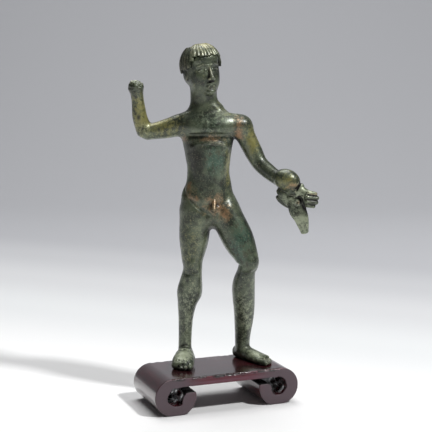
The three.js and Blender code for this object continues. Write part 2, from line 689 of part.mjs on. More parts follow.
function hairCap(turn) {
  const { locks, crown, radii, ridge, fringe, temple, nape, templeFrom, templeTo } = hair;
  const rad = THREE.MathUtils.degToRad;
  const perLock = 4;
  const around = locks * perLock;
  const rings = [0.14, 0.36, 0.58, 0.76, 0.9, 1];
  const hem = (a) => {
    const side = THREE.MathUtils.radToDeg(Math.acos(Math.cos(a))); // 0 over the brow, 180 at the nape
    const down = THREE.MathUtils.smoothstep(side, templeFrom, templeTo);
    const back = THREE.MathUtils.smoothstep(side, templeTo, 180);
    return rad(fringe + (temple - fringe) * down + (nape - temple) * back);
  };
  const shell = (a, fall, lift) => {
    const [rx, ry, rz] = radii.map((r) => r + lift);
    const out = Math.sin(fall);
    return v(rx * out * Math.sin(a), -ry * out * Math.cos(a), rz * Math.cos(fall)).add(crown);
  };
  const points = [shell(0, 0, 0)];
  for (const share of rings)
    for (let n = 0; n < around; n++) {
      const a = (n / around) * Math.PI * 2;
      const round = Math.abs(Math.cos((a * locks) / 2)) ** 0.8;
      const tip = share === 1 ? 0.93 + 0.07 * round : share;
      const lift = ridge * round * THREE.MathUtils.smoothstep(share, 0.25, 0.8);
      points.push(shell(a, hem(a) * tip, lift));
    }
  const middle = points.push(crown.clone()) - 1;
  const triangles = [];
  const at = (r, n) => 1 + r * around + (n % around);
  for (let n = 0; n < around; n++) {
    triangles.push(0, at(0, n), at(0, n + 1));
    for (let r = 0; r + 1 < rings.length; r++) {
      triangles.push(at(r, n), at(r + 1, n), at(r + 1, n + 1), at(r, n), at(r + 1, n + 1), at(r, n + 1));
    }
    triangles.push(middle, at(rings.length - 1, n + 1), at(rings.length - 1, n));
  }
  const geometry = new THREE.BufferGeometry().setFromPoints(points);
  geometry.setIndex(triangles);
  return geometry.applyQuaternion(turn).translate(...headCentre.toArray());
}

// Closed three.js geometry to a solid and back, so that the hair joins the head
const wasm = await Module();
wasm.setup();

function solid(geometry) {
  const bare = new THREE.BufferGeometry().setAttribute("position", geometry.getAttribute("position"));
  bare.setIndex(geometry.index);
  const merged = mergeVertices(bare, 1e-4);
  return new wasm.Manifold(
    new wasm.Mesh({
      numProp: 3,
      vertProperties: merged.attributes.position.array,
      triVerts: new Uint32Array(merged.index.array),
    }),
  );
}

function surface(shape) {
  const mesh = shape.getMesh();
  const geometry = new THREE.BufferGeometry();
  geometry.setAttribute("position", new THREE.BufferAttribute(mesh.vertProperties, 3));
  geometry.setIndex(new THREE.BufferAttribute(mesh.triVerts, 1));
  geometry.computeVertexNormals();
  return geometry;
}

function figureGeometry() {
  const { field, turn } = casting();
  const across = lines([[-34, -17, 0.9], [-17, 4, 0.65], [4, 23, 0.8], [23, 38, 0.6]]);
  const deep = lines([[-13, 10, 0.65], [10, 18, 0.9]]);
  const up = lines([[-3.5, 8, 0.6], [8, 48, 1.1], [48, 66, 0.75], [66, 96, 0.9], [96, 119, 0.6]]);
  const fineAt = (p) => (p.z > 98 || p.z < 8 || p.x > 24 ? 6 : 1); // head, feet and hand keep more faces
  const body = simplify(skin(field, [across, deep, up]), bodyFaces, fineAt);
  const ground = new THREE.BoxGeometry(120, 120, 20).translate(0, 0, -10);
  return surface(solid(body).add(solid(hairCap(turn))).subtract(solid(ground)));
}

// The stand's outline: half of it as points, from the middle of the underside round the scroll to the top
function scrollOutline() {
  const { length, height, slab, eyeX, eyeZ, eyeRadius, tongueX, tongueTop, footIn } = stand;
  const curl = height / 2;
  const arcSteps = 11;
  const nose = 0.5; // how much the tongue's upper edges are eased
  const half = new THREE.Path();
  half.moveTo(0, height - slab);
  half.lineTo(eyeX - 0.66 * eyeRadius, height - slab);
  half.absarc(eyeX, eyeZ, eyeRadius, Math.PI * 0.56, -Math.PI * 0.86, true);
  half.lineTo(eyeX - eyeRadius, tongueTop - nose);
  half.quadraticCurveTo(eyeX - eyeRadius - nose / 2, tongueTop, eyeX - eyeRadius - 2 * nose, tongueTop);
  half.lineTo(tongueX + 2 * nose, tongueTop);
  half.quadraticCurveTo(tongueX, tongueTop - nose / 2, tongueX, tongueTop - 4 * nose);
  half.bezierCurveTo(tongueX + nose, 3.0, footIn - 3.0, 0, footIn, 0);
  half.lineTo(length / 2 - curl, 0);
  half.absarc(length / 2 - curl, curl, curl, -Math.PI / 2, Math.PI / 2, false);
  const right = half.getPoints(arcSteps);
  const left = right.map((p) => new THREE.Vector2(-p.x, p.y)).reverse();
  return new THREE.Shape([...right, ...left.slice(0, -1)]);
}

function standGeometry() {
  const { depth, softEdge } = stand;
  const geometry = new THREE.ExtrudeGeometry(scrollOutline(), {
    depth: depth - 2 * softEdge,
    steps: 1,
    bevelEnabled: true,
    bevelThickness: softEdge,
    bevelSize: softEdge,
    bevelOffset: -softEdge,
    bevelSegments: 1,
  });
  return geometry.rotateX(Math.PI / 2).translate(0, depth / 2 - softEdge, 0);
}

const bronze = new THREE.MeshStandardMaterial({ color: 0x4c5a46, roughness: 0.45, metalness: 0.5 });
const hardwood = new THREE.MeshStandardMaterial({ color: 0x3a1a1c, roughness: 0.35, metalness: 0 });

const figure = new THREE.Mesh(figureGeometry(), bronze);
figure.name = "figure";
figure.rotation.z = figureTurn;
figure.position.z = stand.height + soleGap;

const scrollStand = new THREE.Mesh(standGeometry(), hardwood);
scrollStand.name = "scroll_stand";

const statuette = new THREE.Group();
statuette.add(figure, scrollStand);

// The origin is the middle of the whole outline, on the ground
const outline = new THREE.Box3().setFromObject(statuette, true);
const middle = outline.getCenter(v(0, 0, 0));
statuette.position.set(-middle.x, -middle.y, -outline.min.z);

export default statuette;
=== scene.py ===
import math

import bpy
import numpy as np
from mathutils import Euler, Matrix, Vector


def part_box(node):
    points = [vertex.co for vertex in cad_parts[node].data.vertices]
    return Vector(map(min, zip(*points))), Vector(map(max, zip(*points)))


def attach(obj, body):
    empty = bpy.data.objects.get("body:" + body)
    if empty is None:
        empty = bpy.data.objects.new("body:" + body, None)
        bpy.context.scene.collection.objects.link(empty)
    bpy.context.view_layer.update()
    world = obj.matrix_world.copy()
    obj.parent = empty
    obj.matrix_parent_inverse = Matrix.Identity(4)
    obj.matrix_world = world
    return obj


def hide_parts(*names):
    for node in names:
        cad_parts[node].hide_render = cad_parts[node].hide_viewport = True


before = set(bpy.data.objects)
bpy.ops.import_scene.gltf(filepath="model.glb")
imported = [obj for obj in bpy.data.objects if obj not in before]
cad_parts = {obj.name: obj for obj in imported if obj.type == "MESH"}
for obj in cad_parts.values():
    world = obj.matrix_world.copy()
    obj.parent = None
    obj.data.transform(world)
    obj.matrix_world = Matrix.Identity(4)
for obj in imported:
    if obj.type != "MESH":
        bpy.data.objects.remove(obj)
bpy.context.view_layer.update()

# Lengths are in millimetres until a mesh is placed: then it is turned into the part's frame, in metres.
# The figure's own axes: +X to its left hand, -Y the way it looks, Z from the soles, the crown at 117.
mm = 0.001
standLow, standHigh = (np.array(corner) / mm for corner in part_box("scroll_stand"))
placing = {
    "figureTurn": math.radians(-21.6),
    "soleGap": 0.1,
    "standMiddle": (standLow + standHigh) / 2,
    "standTop": standHigh[2],
}


def placeFigure(points):
    c, s = math.cos(placing["figureTurn"]), math.sin(placing["figureTurn"])
    x, y, z = points.T
    middle = placing["standMiddle"]
    top = placing["standTop"] + placing["soleGap"]
    return np.stack([c * x - s * y + middle[0], s * x + c * y + middle[1], z + top], axis=1) * mm


def placeStand(points):
    middle = placing["standMiddle"]
    return (points + np.array([middle[0], middle[1], 0])) * mm


# Forms: each is a distance field, negative inside, with its box and how softly it joins what is there
def vec(*values):
    return np.array(values, dtype=np.float32)


def blend(a, b, k):
    h = np.maximum(k - np.abs(a - b), 0) / k
    return np.minimum(a, b) - h * h * k * 0.25


def form(field, low, high, soft):
    return {"field": field, "low": np.asarray(low) - 0.5, "high": np.asarray(high) + 0.5, "soft": soft}


def turned(x, y, z, order="XYZ"):
    return np.array(Euler((x, y, z), order).to_matrix(), dtype=np.float32)


def ball(centre, radii, soft, turn=np.eye(3, dtype=np.float32)):
    centre, radii = vec(*centre), vec(*radii)

    def field(p, box):
        q = (p - centre) @ turn
        k0 = np.sqrt(((q / radii) ** 2).sum(1))
        k1 = np.sqrt(((q / radii**2) ** 2).sum(1))
        return np.where(k1 < 1e-6, -radii.min(), k0 * (k0 - 1) / np.maximum(k1, 1e-6))

    reach = radii.max()
    return form(field, centre - reach, centre + reach, soft)


def bar(a, b, ra, rb, soft):
    a, b = vec(*a), vec(*b)
    along = b - a

    def field(p, box):
        q = p - a
        t = np.clip(q @ along / (along @ along), 0, 1)
        return np.linalg.norm(q - t[:, None] * along, axis=1) - (ra + (rb - ra) * t)

    reach = max(ra, rb)
    return form(field, np.minimum(a, b) - reach, np.maximum(a, b) + reach, soft)


# A smooth curve through rows of numbers, at t from 0 to 1; its ends run on straight, or stay put
def spline(rows, t, straightEnds):
    spans = len(rows) - 1
    first = 2 * rows[0] - rows[1] if straightEnds else rows[0]
    last = 2 * rows[-1] - rows[-2] if straightEnds else rows[-1]
    rows = np.concatenate([[first], rows, [last]])
    at = np.clip(t, 0, 1) * spans
    i = np.minimum(at.astype(int), spans - 1)
    f = (at - i)[:, None]
    y0, y1, y2, y3 = (rows[i + n] for n in range(4))
    squared = (2 * y0 - 5 * y1 + 4 * y2 - y3) * f**2
    cubed = (3 * y1 - y0 - 3 * y2 + y3) * f**3
    return (2 * y1 + (y2 - y0) * f + squared + cubed) / 2


# A limb: stations (x, y, z, half width, half depth, turn in degrees); side is the width's direction
def limb(stations, soft, side=(1, 0, 0), cap=0.8, square=2.0, steps=6):
    rows = np.array([list(s) + [0] * (6 - len(s)) for s in stations], dtype=np.float64)
    count = (len(rows) - 1) * steps
    t = np.linspace(0, 1, count + 1)
    at = spline(rows[:, :3], t, True)
    size = spline(rows[:, 3:], t, False)
    delta = 1e-4
    axis = spline(rows[:, :3], t + delta, True) - spline(rows[:, :3], t - delta, True)
    axis /= np.linalg.norm(axis, axis=1, keepdims=True)
    spin = np.radians(size[:, 2])
    wide = np.stack(
        [
            side[0] * np.cos(spin) - side[1] * np.sin(spin),
            side[0] * np.sin(spin) + side[1] * np.cos(spin),
            np.full(len(t), float(side[2])),
        ],
        axis=1,
    )
    wide -= (wide * axis).sum(1, keepdims=True) * axis
    wide /= np.linalg.norm(wide, axis=1, keepdims=True)
    deep = np.cross(axis, wide)
    at, axis, wide, deep, size = (x.astype(np.float32) for x in (at, axis, wide, deep, size))
    step = at[1:] - at[:-1]
    stepSquared = (step**2).sum(1)

    def field(p, box):
        # the stretch of the limb nearest to each point, from dot products alone
        along = (p @ step.T - (at[:-1] * step).sum(1)) / stepSquared
        share = np.clip(along, 0, 1)
        away = (p**2).sum(1)[:, None] - 2 * p @ at[:-1].T + (at[:-1] ** 2).sum(1)
        off = away + stepSquared * share * (share - 2 * along)
        ring = off.argmin(1)
        t = share[np.arange(len(p)), ring][:, None]
        q = p - (at[ring] + step[ring] * t)
        local = []
        for frameAxis in (wide, deep, axis):
            direction = frameAxis[ring] * (1 - t) + frameAxis[ring + 1] * t
            local.append((q * direction).sum(1) / np.linalg.norm(direction, axis=1))
        w, d = (size[ring, :2] * (1 - t) + size[ring + 1, :2] * t).T
        radii = (w, d, np.minimum(w, d) * cap)
        ratios = [np.abs(x / r) + 1e-6 for x, r in zip(local, radii)]
        k = sum(x**square for x in ratios) ** (1 / square)
        slope = sum((x ** (square - 1) / r) ** 2 for x, r in zip(ratios, radii))
        d0 = (k - 1) / (np.sqrt(slope) * k ** (1 - square))
        return np.where(k < 0.05, -np.minimum(w, d), d0)

    reach = size[:, :2].max()
    return form(field, at.min(0) - reach, at.max(0) + reach, soft)


# A tool stroke along points: a positive height raises the surface, a negative one cuts a groove
def stroke(points, radius, height):
    points = np.array(points, dtype=np.float32)
    reach = 3 * radius

    def bump(p):
        best = np.full(len(p), 1e6, dtype=np.float32)
        for a, b in zip(points[:-1], points[1:]):
            along = b - a
            q = p - a
            t = np.clip(q @ along / (along @ along), 0, 1)
            best = np.minimum(best, ((q - t[:, None] * along) ** 2).sum(1))
        return height * np.exp(-best / radius**2)

    return {"bump": bump, "low": points.min(0) - reach, "high": points.max(0) + reach}


def boxGap(lowA, highA, lowB, highB):
    return float(np.linalg.norm(np.maximum(np.maximum(lowA - highB, lowB - highA), 0)))


# Joins the forms one after another, then works the surface with the strokes; what lies too far off is skipped
def sculpt(forms, strokes, p, box, reach=6.0):
    d = np.full(len(p), 50, dtype=np.float32)
    for item in forms:
        if boxGap(*box, item["low"], item["high"]) < reach + item["soft"]:
            d = blend(d, item["field"](p, box), item["soft"])
    for item in strokes:
        if boxGap(*box, item["low"], item["high"]) <= 0:
            d = d - item["bump"](p)
    return d


def group(forms, strokes, soft):
    low = np.min([item["low"] for item in forms], axis=0)
    high = np.max([item["high"] for item in forms], axis=0)
    return form(lambda p, box: sculpt(forms, strokes, p, box), low, high, soft)


# Smooth noise from 0 to 1, from a table of random numbers on a grid that repeats
noiseTable = np.random.default_rng(7).random((32, 32, 32)).astype(np.float32)


def noise(p, size):
    q = p / size + 100
    cell = np.floor(q).astype(int)
    f = q - cell
    f = f * f * (3 - 2 * f)
    total = np.zeros(len(p), dtype=np.float32)
    for corner in range(8):
        step = np.array([corner & 1, corner >> 1 & 1, corner >> 2 & 1])
        weight = np.prod(np.where(step, f, 1 - f), axis=1)
        i, j, k = ((cell + step) % 32).T
        total += weight * noiseTable[i, j, k]
    return total


def smoothstep(low, high, x):
    t = np.clip((x - low) / (high - low), 0, 1)
    return t * t * (3 - 2 * t)


# Fills a grid with a field, each level only near the surface that the coarser one found
def fillGrid(field, low, high, cell, levels=3):
    stride = 2 ** (levels - 1)
    count = (np.ceil((high - low) / (cell * stride)).astype(int)) * stride + 1
    values = None
    while stride >= 1:
        shape = (count - 1) // stride + 1
        if values is None:
            values = np.full(shape, 50, dtype=np.float32)
            wanted = np.ones(shape, dtype=bool)
        else:
            near = np.abs(values) < 3.2 * cell * stride + 0.25
            for axis in range(3):
                values, near = (halve(grid, axis) for grid in (values, near))
            wanted = near
        index = np.argwhere(wanted)
        points = (low + index * (cell * stride)).astype(np.float32)
        values[tuple(index.T)] = inBlocks(field, points, 5.0)
        stride //= 2
    return values


def halve(grid, axis):
    grid = np.moveaxis(grid, axis, 0)
    out = np.empty((2 * len(grid) - 1,) + grid.shape[1:], dtype=grid.dtype)
    out[::2] = grid
    out[1::2] = grid[1:] | grid[:-1] if grid.dtype == bool else (grid[1:] + grid[:-1]) / 2
    return np.moveaxis(out, 0, axis)


def inBlocks(field, points, size):
    block = np.floor(points / size).astype(np.int64)
    key = (block[:, 0] * 4096 + block[:, 1]) * 4096 + block[:, 2]
    order = np.argsort(key, kind="stable")
    out = np.empty(len(points), dtype=np.float32)
    for chosen in np.split(order, np.flatnonzero(np.diff(key[order])) + 1):
        p = points[chosen]
        out[chosen] = field(p, (p.min(0), p.max(0)))
    return out


# The zero surface of a filled grid: one vertex in each cell it passes through, one quad for each crossed edge
def skin(values, low, cell):
    inside = values < 0
    nx, ny, nz = inside.shape
    total = np.zeros((nx - 1, ny - 1, nz - 1), dtype=np.uint8)
    corners = [(a, b, c) for a in (0, 1) for b in (0, 1) for c in (0, 1)]
    for a, b, c in corners:
        total += inside[a : nx - 1 + a, b : ny - 1 + b, c : nz - 1 + c]
    cells = np.argwhere((total > 0) & (total < 8))
    owner = np.full(total.shape, -1, dtype=np.int32)
    owner[tuple(cells.T)] = np.arange(len(cells))
    place = np.zeros((len(cells), 3), dtype=np.float32)
    hits = np.zeros(len(cells), dtype=np.float32)
    for start in corners:
        for axis in range(3):
            if start[axis]:
                continue
            end = list(start)
            end[axis] = 1
            fa = values[tuple((cells + start).T)]
            fb = values[tuple((cells + end).T)]
            crossed = (fa < 0) != (fb < 0)
            t = fa / np.where(crossed, fa - fb, 1)
            spot = np.tile(np.array(start, dtype=np.float32), (len(cells), 1))
            spot[:, axis] = t
            place[crossed] += spot[crossed]
            hits += crossed
    vertices = low + (cells + place / hits[:, None]) * cell
    quads = []
    for axis in range(3):
        ahead = np.moveaxis(inside, axis, 0)
        edges = np.argwhere(np.moveaxis(ahead[1:] != ahead[:-1], 0, axis))
        edges = edges[(edges[:, (axis + 1) % 3] > 0) & (edges[:, (axis + 2) % 3] > 0)]
        u, w = np.eye(3, dtype=int)[(axis + 1) % 3], np.eye(3, dtype=int)[(axis + 2) % 3]
        around = [owner[tuple((edges - offset).T)] for offset in (0 * u, u, u + w, w)]
        quad = np.stack(around, axis=1)
        outward = inside[tuple(edges.T)]
        quads.append(np.where(outward[:, None], quad, quad[:, ::-1]))
    return vertices, np.concatenate(quads)


def newObject(name, vertices, faces):
    mesh = bpy.data.meshes.new(name)
    mesh.vertices.add(len(vertices))
    mesh.vertices.foreach_set("co", np.asarray(vertices, dtype=np.float32).ravel())
    size = faces.shape[1]
    mesh.loops.add(faces.size)
    mesh.loops.foreach_set("vertex_index", faces.astype(np.int32).ravel())
    mesh.polygons.add(len(faces))
    mesh.polygons.foreach_set("loop_start", np.arange(0, faces.size, size, dtype=np.int32))
    mesh.update(calc_edges=True)
    piece = bpy.data.objects.new(name, mesh)
    bpy.context.collection.objects.link(piece)
    return piece


# Puts the result of a piece's modifiers into its mesh, and takes the modifiers off
def settle(piece):
    bpy.context.view_layer.update()
    result = bpy.data.meshes.new_from_object(piece.evaluated_get(bpy.context.evaluated_depsgraph_get()))
    old = piece.data
    piece.modifiers.clear()
    result.name = piece.name
    piece.data = result
    bpy.data.meshes.remove(old)
    return piece


def thinOut(piece, triangles):
    modifier = piece.modifiers.new("thin", "DECIMATE")
    modifier.ratio = min(1.0, triangles / (2 * len(piece.data.polygons)))
    modifier.use_collapse_triangulate = True
    return settle(piece)


def pointsOf(mesh):
    at = np.empty(len(mesh.vertices) * 3, dtype=np.float32)
    mesh.vertices.foreach_get("co", at)
    return at.reshape(-1, 3)


def normalsOf(mesh):
    out = np.empty(len(mesh.vertices) * 3, dtype=np.float32)
    mesh.vertex_normals.foreach_get("vector", out)
    return out.reshape(-1, 3)


def setPoints(mesh, points):
    mesh.vertices.foreach_set("co", points.astype(np.float32).ravel())
    mesh.update()


def setAttribute(mesh, name, values):
    attribute = mesh.attributes.new(name, "FLOAT", "POINT")
    attribute.data.foreach_set("value", values.astype(np.float32))


# How shut in each point is, from 0 in the open to 1 in a deep corner, read off the filled grid
def shutIn(values, low, cell, points, normals, distances):
    total = np.zeros(len(points), dtype=np.float32)
    for t in distances:
        index = np.round((points + normals * t - low) / cell).astype(int)
        index = np.clip(index, 0, np.array(values.shape) - 1)
        total += np.clip(1 - values[tuple(index.T)] / t, 0, 1)
    return total / len(distances)


# The figure: the same forms as the solid's, with finer work on top
head = {
    "centre": vec(-4.8, 4.2, 107.6),
    "turn": turned(math.radians(-3), math.radians(-8), math.radians(27), "YZX"),
}


def trunkForms():
    core = [
        (-1.9, 6.2, 54.5, 9.6, 6.2, 12),
        (-2.7, 6.0, 61, 9.9, 6.1, 14),
        (-2.5, 5.7, 66, 8.4, 5.2, 12),
        (-2.55, 5.4, 71, 7.7, 4.8, 9),
        (-2.5, 5.2, 78, 8.3, 5.1, 6),
        (-2.4, 5.1, 84, 9.2, 5.2, 4),
        (-2.4, 5.2, 88.5, 9.2, 4.6, 3),
        (-3.2, 5.3, 92.5, 6.0, 3.6, 3),
    ]
    belly = [
        (-2.2, 3.3, 62, 5.6, 3.7, 10),
        (-2.2, 3.0, 70, 5.8, 3.5, 8),
        (-2.0, 2.9, 79.2, 6.9, 3.7, 5),
    ]
    chestPlate = [
        (-9.2, 4.4, 87.8, 3.9, 4.0),
        (-6.0, 2.8, 88.0, 4.4, 3.6),
        (-1.9, 2.1, 88.1, 4.5, 3.3),
        (2.4, 2.8, 88.0, 4.4, 3.6),
        (6.0, 4.4, 87.6, 3.9, 4.0),
    ]
    return [
        limb(core, 1, square=2.35, cap=0.7),
        limb(belly, 0.9, square=2.6, cap=0.8),
        limb(chestPlate, 0.8, side=(0, 0.6, 1), cap=0.7, square=2.5),
        bar((-9.6, 6.4, 83.5), (-8.4, 6.2, 76), 2.4, 1.6, 2.4),  # flank under the right arm
        ball((-7.4, 9.4, 56.4), (5.2, 4.4, 5.2), 2.2),  # buttocks
        ball((3.0, 9.9, 56.4), (5.2, 4.4, 5.2), 2.2),
        ball((-7.8, 8.4, 87.0), (3.6, 2.2, 4.4), 2.5),  # shoulder blades
        ball((3.8, 8.4, 87.0), (3.6, 2.2, 4.4), 2.5),
    ]


def legForms():
    right = [
        (-7.2, 5.8, 56, 5.7, 6.0),
        (-7.85, 5.4, 46, 5.4, 5.6),
        (-8.4, 4.6, 39, 4.0, 4.4),
        (-8.4, 4.4, 34.6, 3.5, 3.9),
        (-9.6, 6.0, 26.5, 4.55, 4.4),
        (-10.5, 6.4, 21.5, 3.5, 3.8),
        (-11.0, 6.6, 16, 2.7, 3.0),
        (-11.3, 6.5, 8, 2.4, 2.6),
        (-11.3, 6.3, 3.5, 2.5, 2.9),
    ]
    left = [
        (3.4, 6.2, 56, 5.7, 6.0),
        (8.3, 4.6, 46, 5.75, 5.6),
        (11.3, 3.2, 40, 4.4, 4.5),
        (12.1, 3.0, 37.2, 3.75, 4.0),
        (11.4, 3.6, 34.6, 3.3, 3.8),
        (10.4, 6.2, 28, 4.2, 4.3),
        (10.7, 9.1, 17.5, 3.75, 3.5),
        (10.2, 11.0, 8.5, 2.9, 2.9),
        (10.1, 11.6, 3.5, 2.7, 3.0),
    ]
    return [limb(right, 2.2), limb(left, 2.2)]


# A foot lies flat from heel to toes; at() gives a place on it from its share forward, then left and up
feet = {
    "right": {
        "heel": (-10.7, 9.2),
        "heading": -5,
        "length": 18.2,
        "sole": [
            (0.1, 2.1, 2.7, 2.4),
            (0.32, 2.4, 3.2, 3.0),
            (0.54, 2.2, 3.95, 2.9),
            (0.74, 1.7, 4.1, 2.3),
            (0.83, 1.5, 3.9, 1.7),
        ],
        "instep": [(0.36, 2.6, 2.9), (0.5, 2.6, 2.5)],
        "toes": [
            (2.9, 0.97, 1.1),
            (1.15, 0.98, 0.9),
            (-0.35, 0.95, 0.85),
            (-1.75, 0.905, 0.8),
            (-3.0, 0.85, 0.75),
        ],
        "toeFrom": 0.76,
    },
    "left": {
        "heel": (7.0, 15.2),
        "heading": 43,
        "length": 20.8,
        "sole": [(0.12, 2.0, 2.35, 2.3), (0.3, 1.9, 2.6, 2.3), (0.5, 1.6, 3.3, 1.9), (0.72, 1.2, 3.65, 1.35)],
        "instep": [(0.3, 2.2, 2.1), (0.62, 1.5, 1.35)],
        "toes": [
            (-2.75, 0.99, 1.0),
            (-1.25, 0.98, 0.85),
            (0.1, 0.94, 0.8),
            (1.4, 0.89, 0.75),
            (2.6, 0.83, 0.7),
        ],
        "toeFrom": 0.7,
    },
}


def foot(side):
    length, heel = side["length"], side["heel"]
    c, s = math.cos(math.radians(side["heading"])), math.sin(math.radians(side["heading"]))

    def at(forward, left, up):
        return (heel[0] + forward * length * s + left * c, heel[1] - forward * length * c + left * s, up)

    sole = [(*at(forward, 0, up), wide, deep) for forward, up, wide, deep in side["sole"]]
    (back, backUp, backRound), (front, frontUp, frontRound) = side["instep"]
    forms = [
        limb(sole, 1.2, side=(c, s, 0), cap=0.9, square=2.3),
        bar(at(back, 0, backUp), at(front, 0, frontUp), backRound, frontRound, 1.4),
    ]
    strokes = []
    for n, (left, reach, thick) in enumerate(side["toes"]):
        root, tip = at(side["toeFrom"], left, thick), at(reach - thick / length, left, thick * 0.9)
        forms.append(bar(root, tip, thick, thick * 0.9, 0.3))
        if n:
            seam = (left + side["toes"][n - 1][0]) / 2
            strokes.append(stroke([at(side["toeFrom"] + 0.06, seam, 3.2), at(reach, seam, 1.2)], 0.3, -0.4))
    return forms, strokes, at


def armForms():
    rightUpper = [
        (-7.5, 5.4, 88.4, 4.4, 4.0),
        (-12.5, 5.6, 87.7, 4.1, 3.7),
        (-18.5, 5.9, 86.1, 3.4, 3.2),
        (-24.6, 6.0, 85.0, 2.8, 2.9),
    ]
    rightLower = [
        (-25.7, 6.0, 85.3, 2.9, 2.8),
        (-27.3, 5.4, 90.5, 2.7, 2.7),
        (-27.9, 4.4, 96, 2.25, 2.3),
        (-28.3, 3.5, 99.6, 2.35, 2.4),
    ]
    left = [
        (9.3, 5.4, 86.8, 3.7, 3.8),
        (11.6, 5.2, 82.4, 3.45, 3.6),
        (13.8, 4.8, 78, 3.3, 3.3),
        (16.1, 3.8, 73.9, 2.9, 3.0),
        (19.6, 1.6, 70.7, 2.75, 2.7),
        (23.0, -0.6, 68.4, 2.5, 2.5),
        (28.0, -3.6, 65.0, 2.3, 2.3),
    ]
    return [
        limb(rightUpper, 2.0, side=(0, 0, 1)),
        limb(rightLower, 1.3),
        ball((-28.5, 3.1, 101.2), (2.85, 2.7, 2.7), 0.7),
        limb(left, 1.0),
        ball((9.0, 5.2, 87.2), (4.3, 4.2, 4.3), 1.8),
    ]


# The pelt: a fold over the wrist, a layer under it with a curled edge, a rear lobe and a hanging paw
def peltForms():
    paw = [
        (28.6, -3.6, 62.0, 3.0, 1.2),
        (29.3, -4.1, 57.9, 3.15, 1.1),
        (30.55, -4.4, 55.1, 2.65, 1.0),
        (31.45, -4.5, 51.9, 1.95, 0.95),
        (31.85, -4.4, 50.1, 1.45, 0.9),
    ]
    slope = turned(0, 0.72, 0)
    forms = [
        ball((26.4, -2.2, 61.9), (5.4, 2.0, 2.7), 0.7, slope),
        ball((30.2, -3.3, 61.2), (2.8, 1.5, 3.0), 0.8),
        ball((25.5, -3.0, 68.3), (5.0, 3.7, 3.95), 0.35, turned(0, 0.35, -0.35)),
        ball((24.9, -0.9, 60.3), (3.8, 1.5, 1.5), 0.25, turned(0, 0.62, 0)),
        limb(paw, 0.6, cap=1.0, square=2.5),
        ball((29.1, -4.7, 60.8), (1.3, 0.9, 1.3), 0.4),
        bar((30.4, -4.4, 66.3), (28.8, -4.6, 63.2), 1.15, 0.95, 0.4),  # the cuff
    ]
    strokes = [
        stroke([(21.2, -2.4, 65.2), (23.0, -3.2, 62.3), (25.8, -3.9, 59.4), (28.2, -4.2, 57.7)], 0.4, 0.3),
        stroke([(20.9, -1.8, 64.2), (22.5, -2.4, 61.6), (25.2, -3.0, 58.7), (27.6, -3.6, 57.0)], 0.4, -0.4),
        stroke([(22.0, -5.0, 65.4), (25.0, -6.0, 64.3), (28.6, -5.6, 65.2), (30.2, -4.4, 68.0)], 0.4, -0.35),
        stroke([(29.1, -5.8, 60.8), (29.1, -5.4, 60.8)], 0.5, -0.6),  # inside the curl
    ]
    return forms, strokes


# The closed fist: a small block with four stacked fingers bent round it
def fistForms():
    forms = [
        bar((30.4, -4.4, 64.6), (33.0, -5.0, 62.8), 1.8, 1.9, 0.6),
        ball((33.6, -4.8, 61.6), (2.6, 2.2, 3.0), 0.6),
    ]
    strokes = [stroke([(30.9, -6.0, 63.0), (31.3, -6.4, 61.6), (31.5, -6.2, 60.0)], 0.35, -0.45)]
    fingers = [
        ((33.0, -6.6, 64.1), (35.3, -5.9, 63.6), 0.95),
        ((32.5, -6.9, 62.7), (35.9, -6.0, 62.2), 0.95),
        ((32.4, -6.8, 61.1), (35.7, -5.9, 60.6), 0.9),
        ((32.6, -6.5, 59.7), (34.8, -5.7, 59.3), 0.8),
    ]
    for knuckle, tip, thick in fingers:
        forms.append(bar(knuckle, tip, thick, thick * 0.95, 0.2))
    for (upper, upperTip, _), (lower, lowerTip, _) in zip(fingers[:-1], fingers[1:]):
        first = (np.array(upper) + lower) / 2 - [0, 0.7, 0]
        last = (np.array(upperTip) + lowerTip) / 2 + [0.5, -0.5, 0]
        strokes.append(stroke([first, last], 0.28, -0.35))
    return forms, strokes


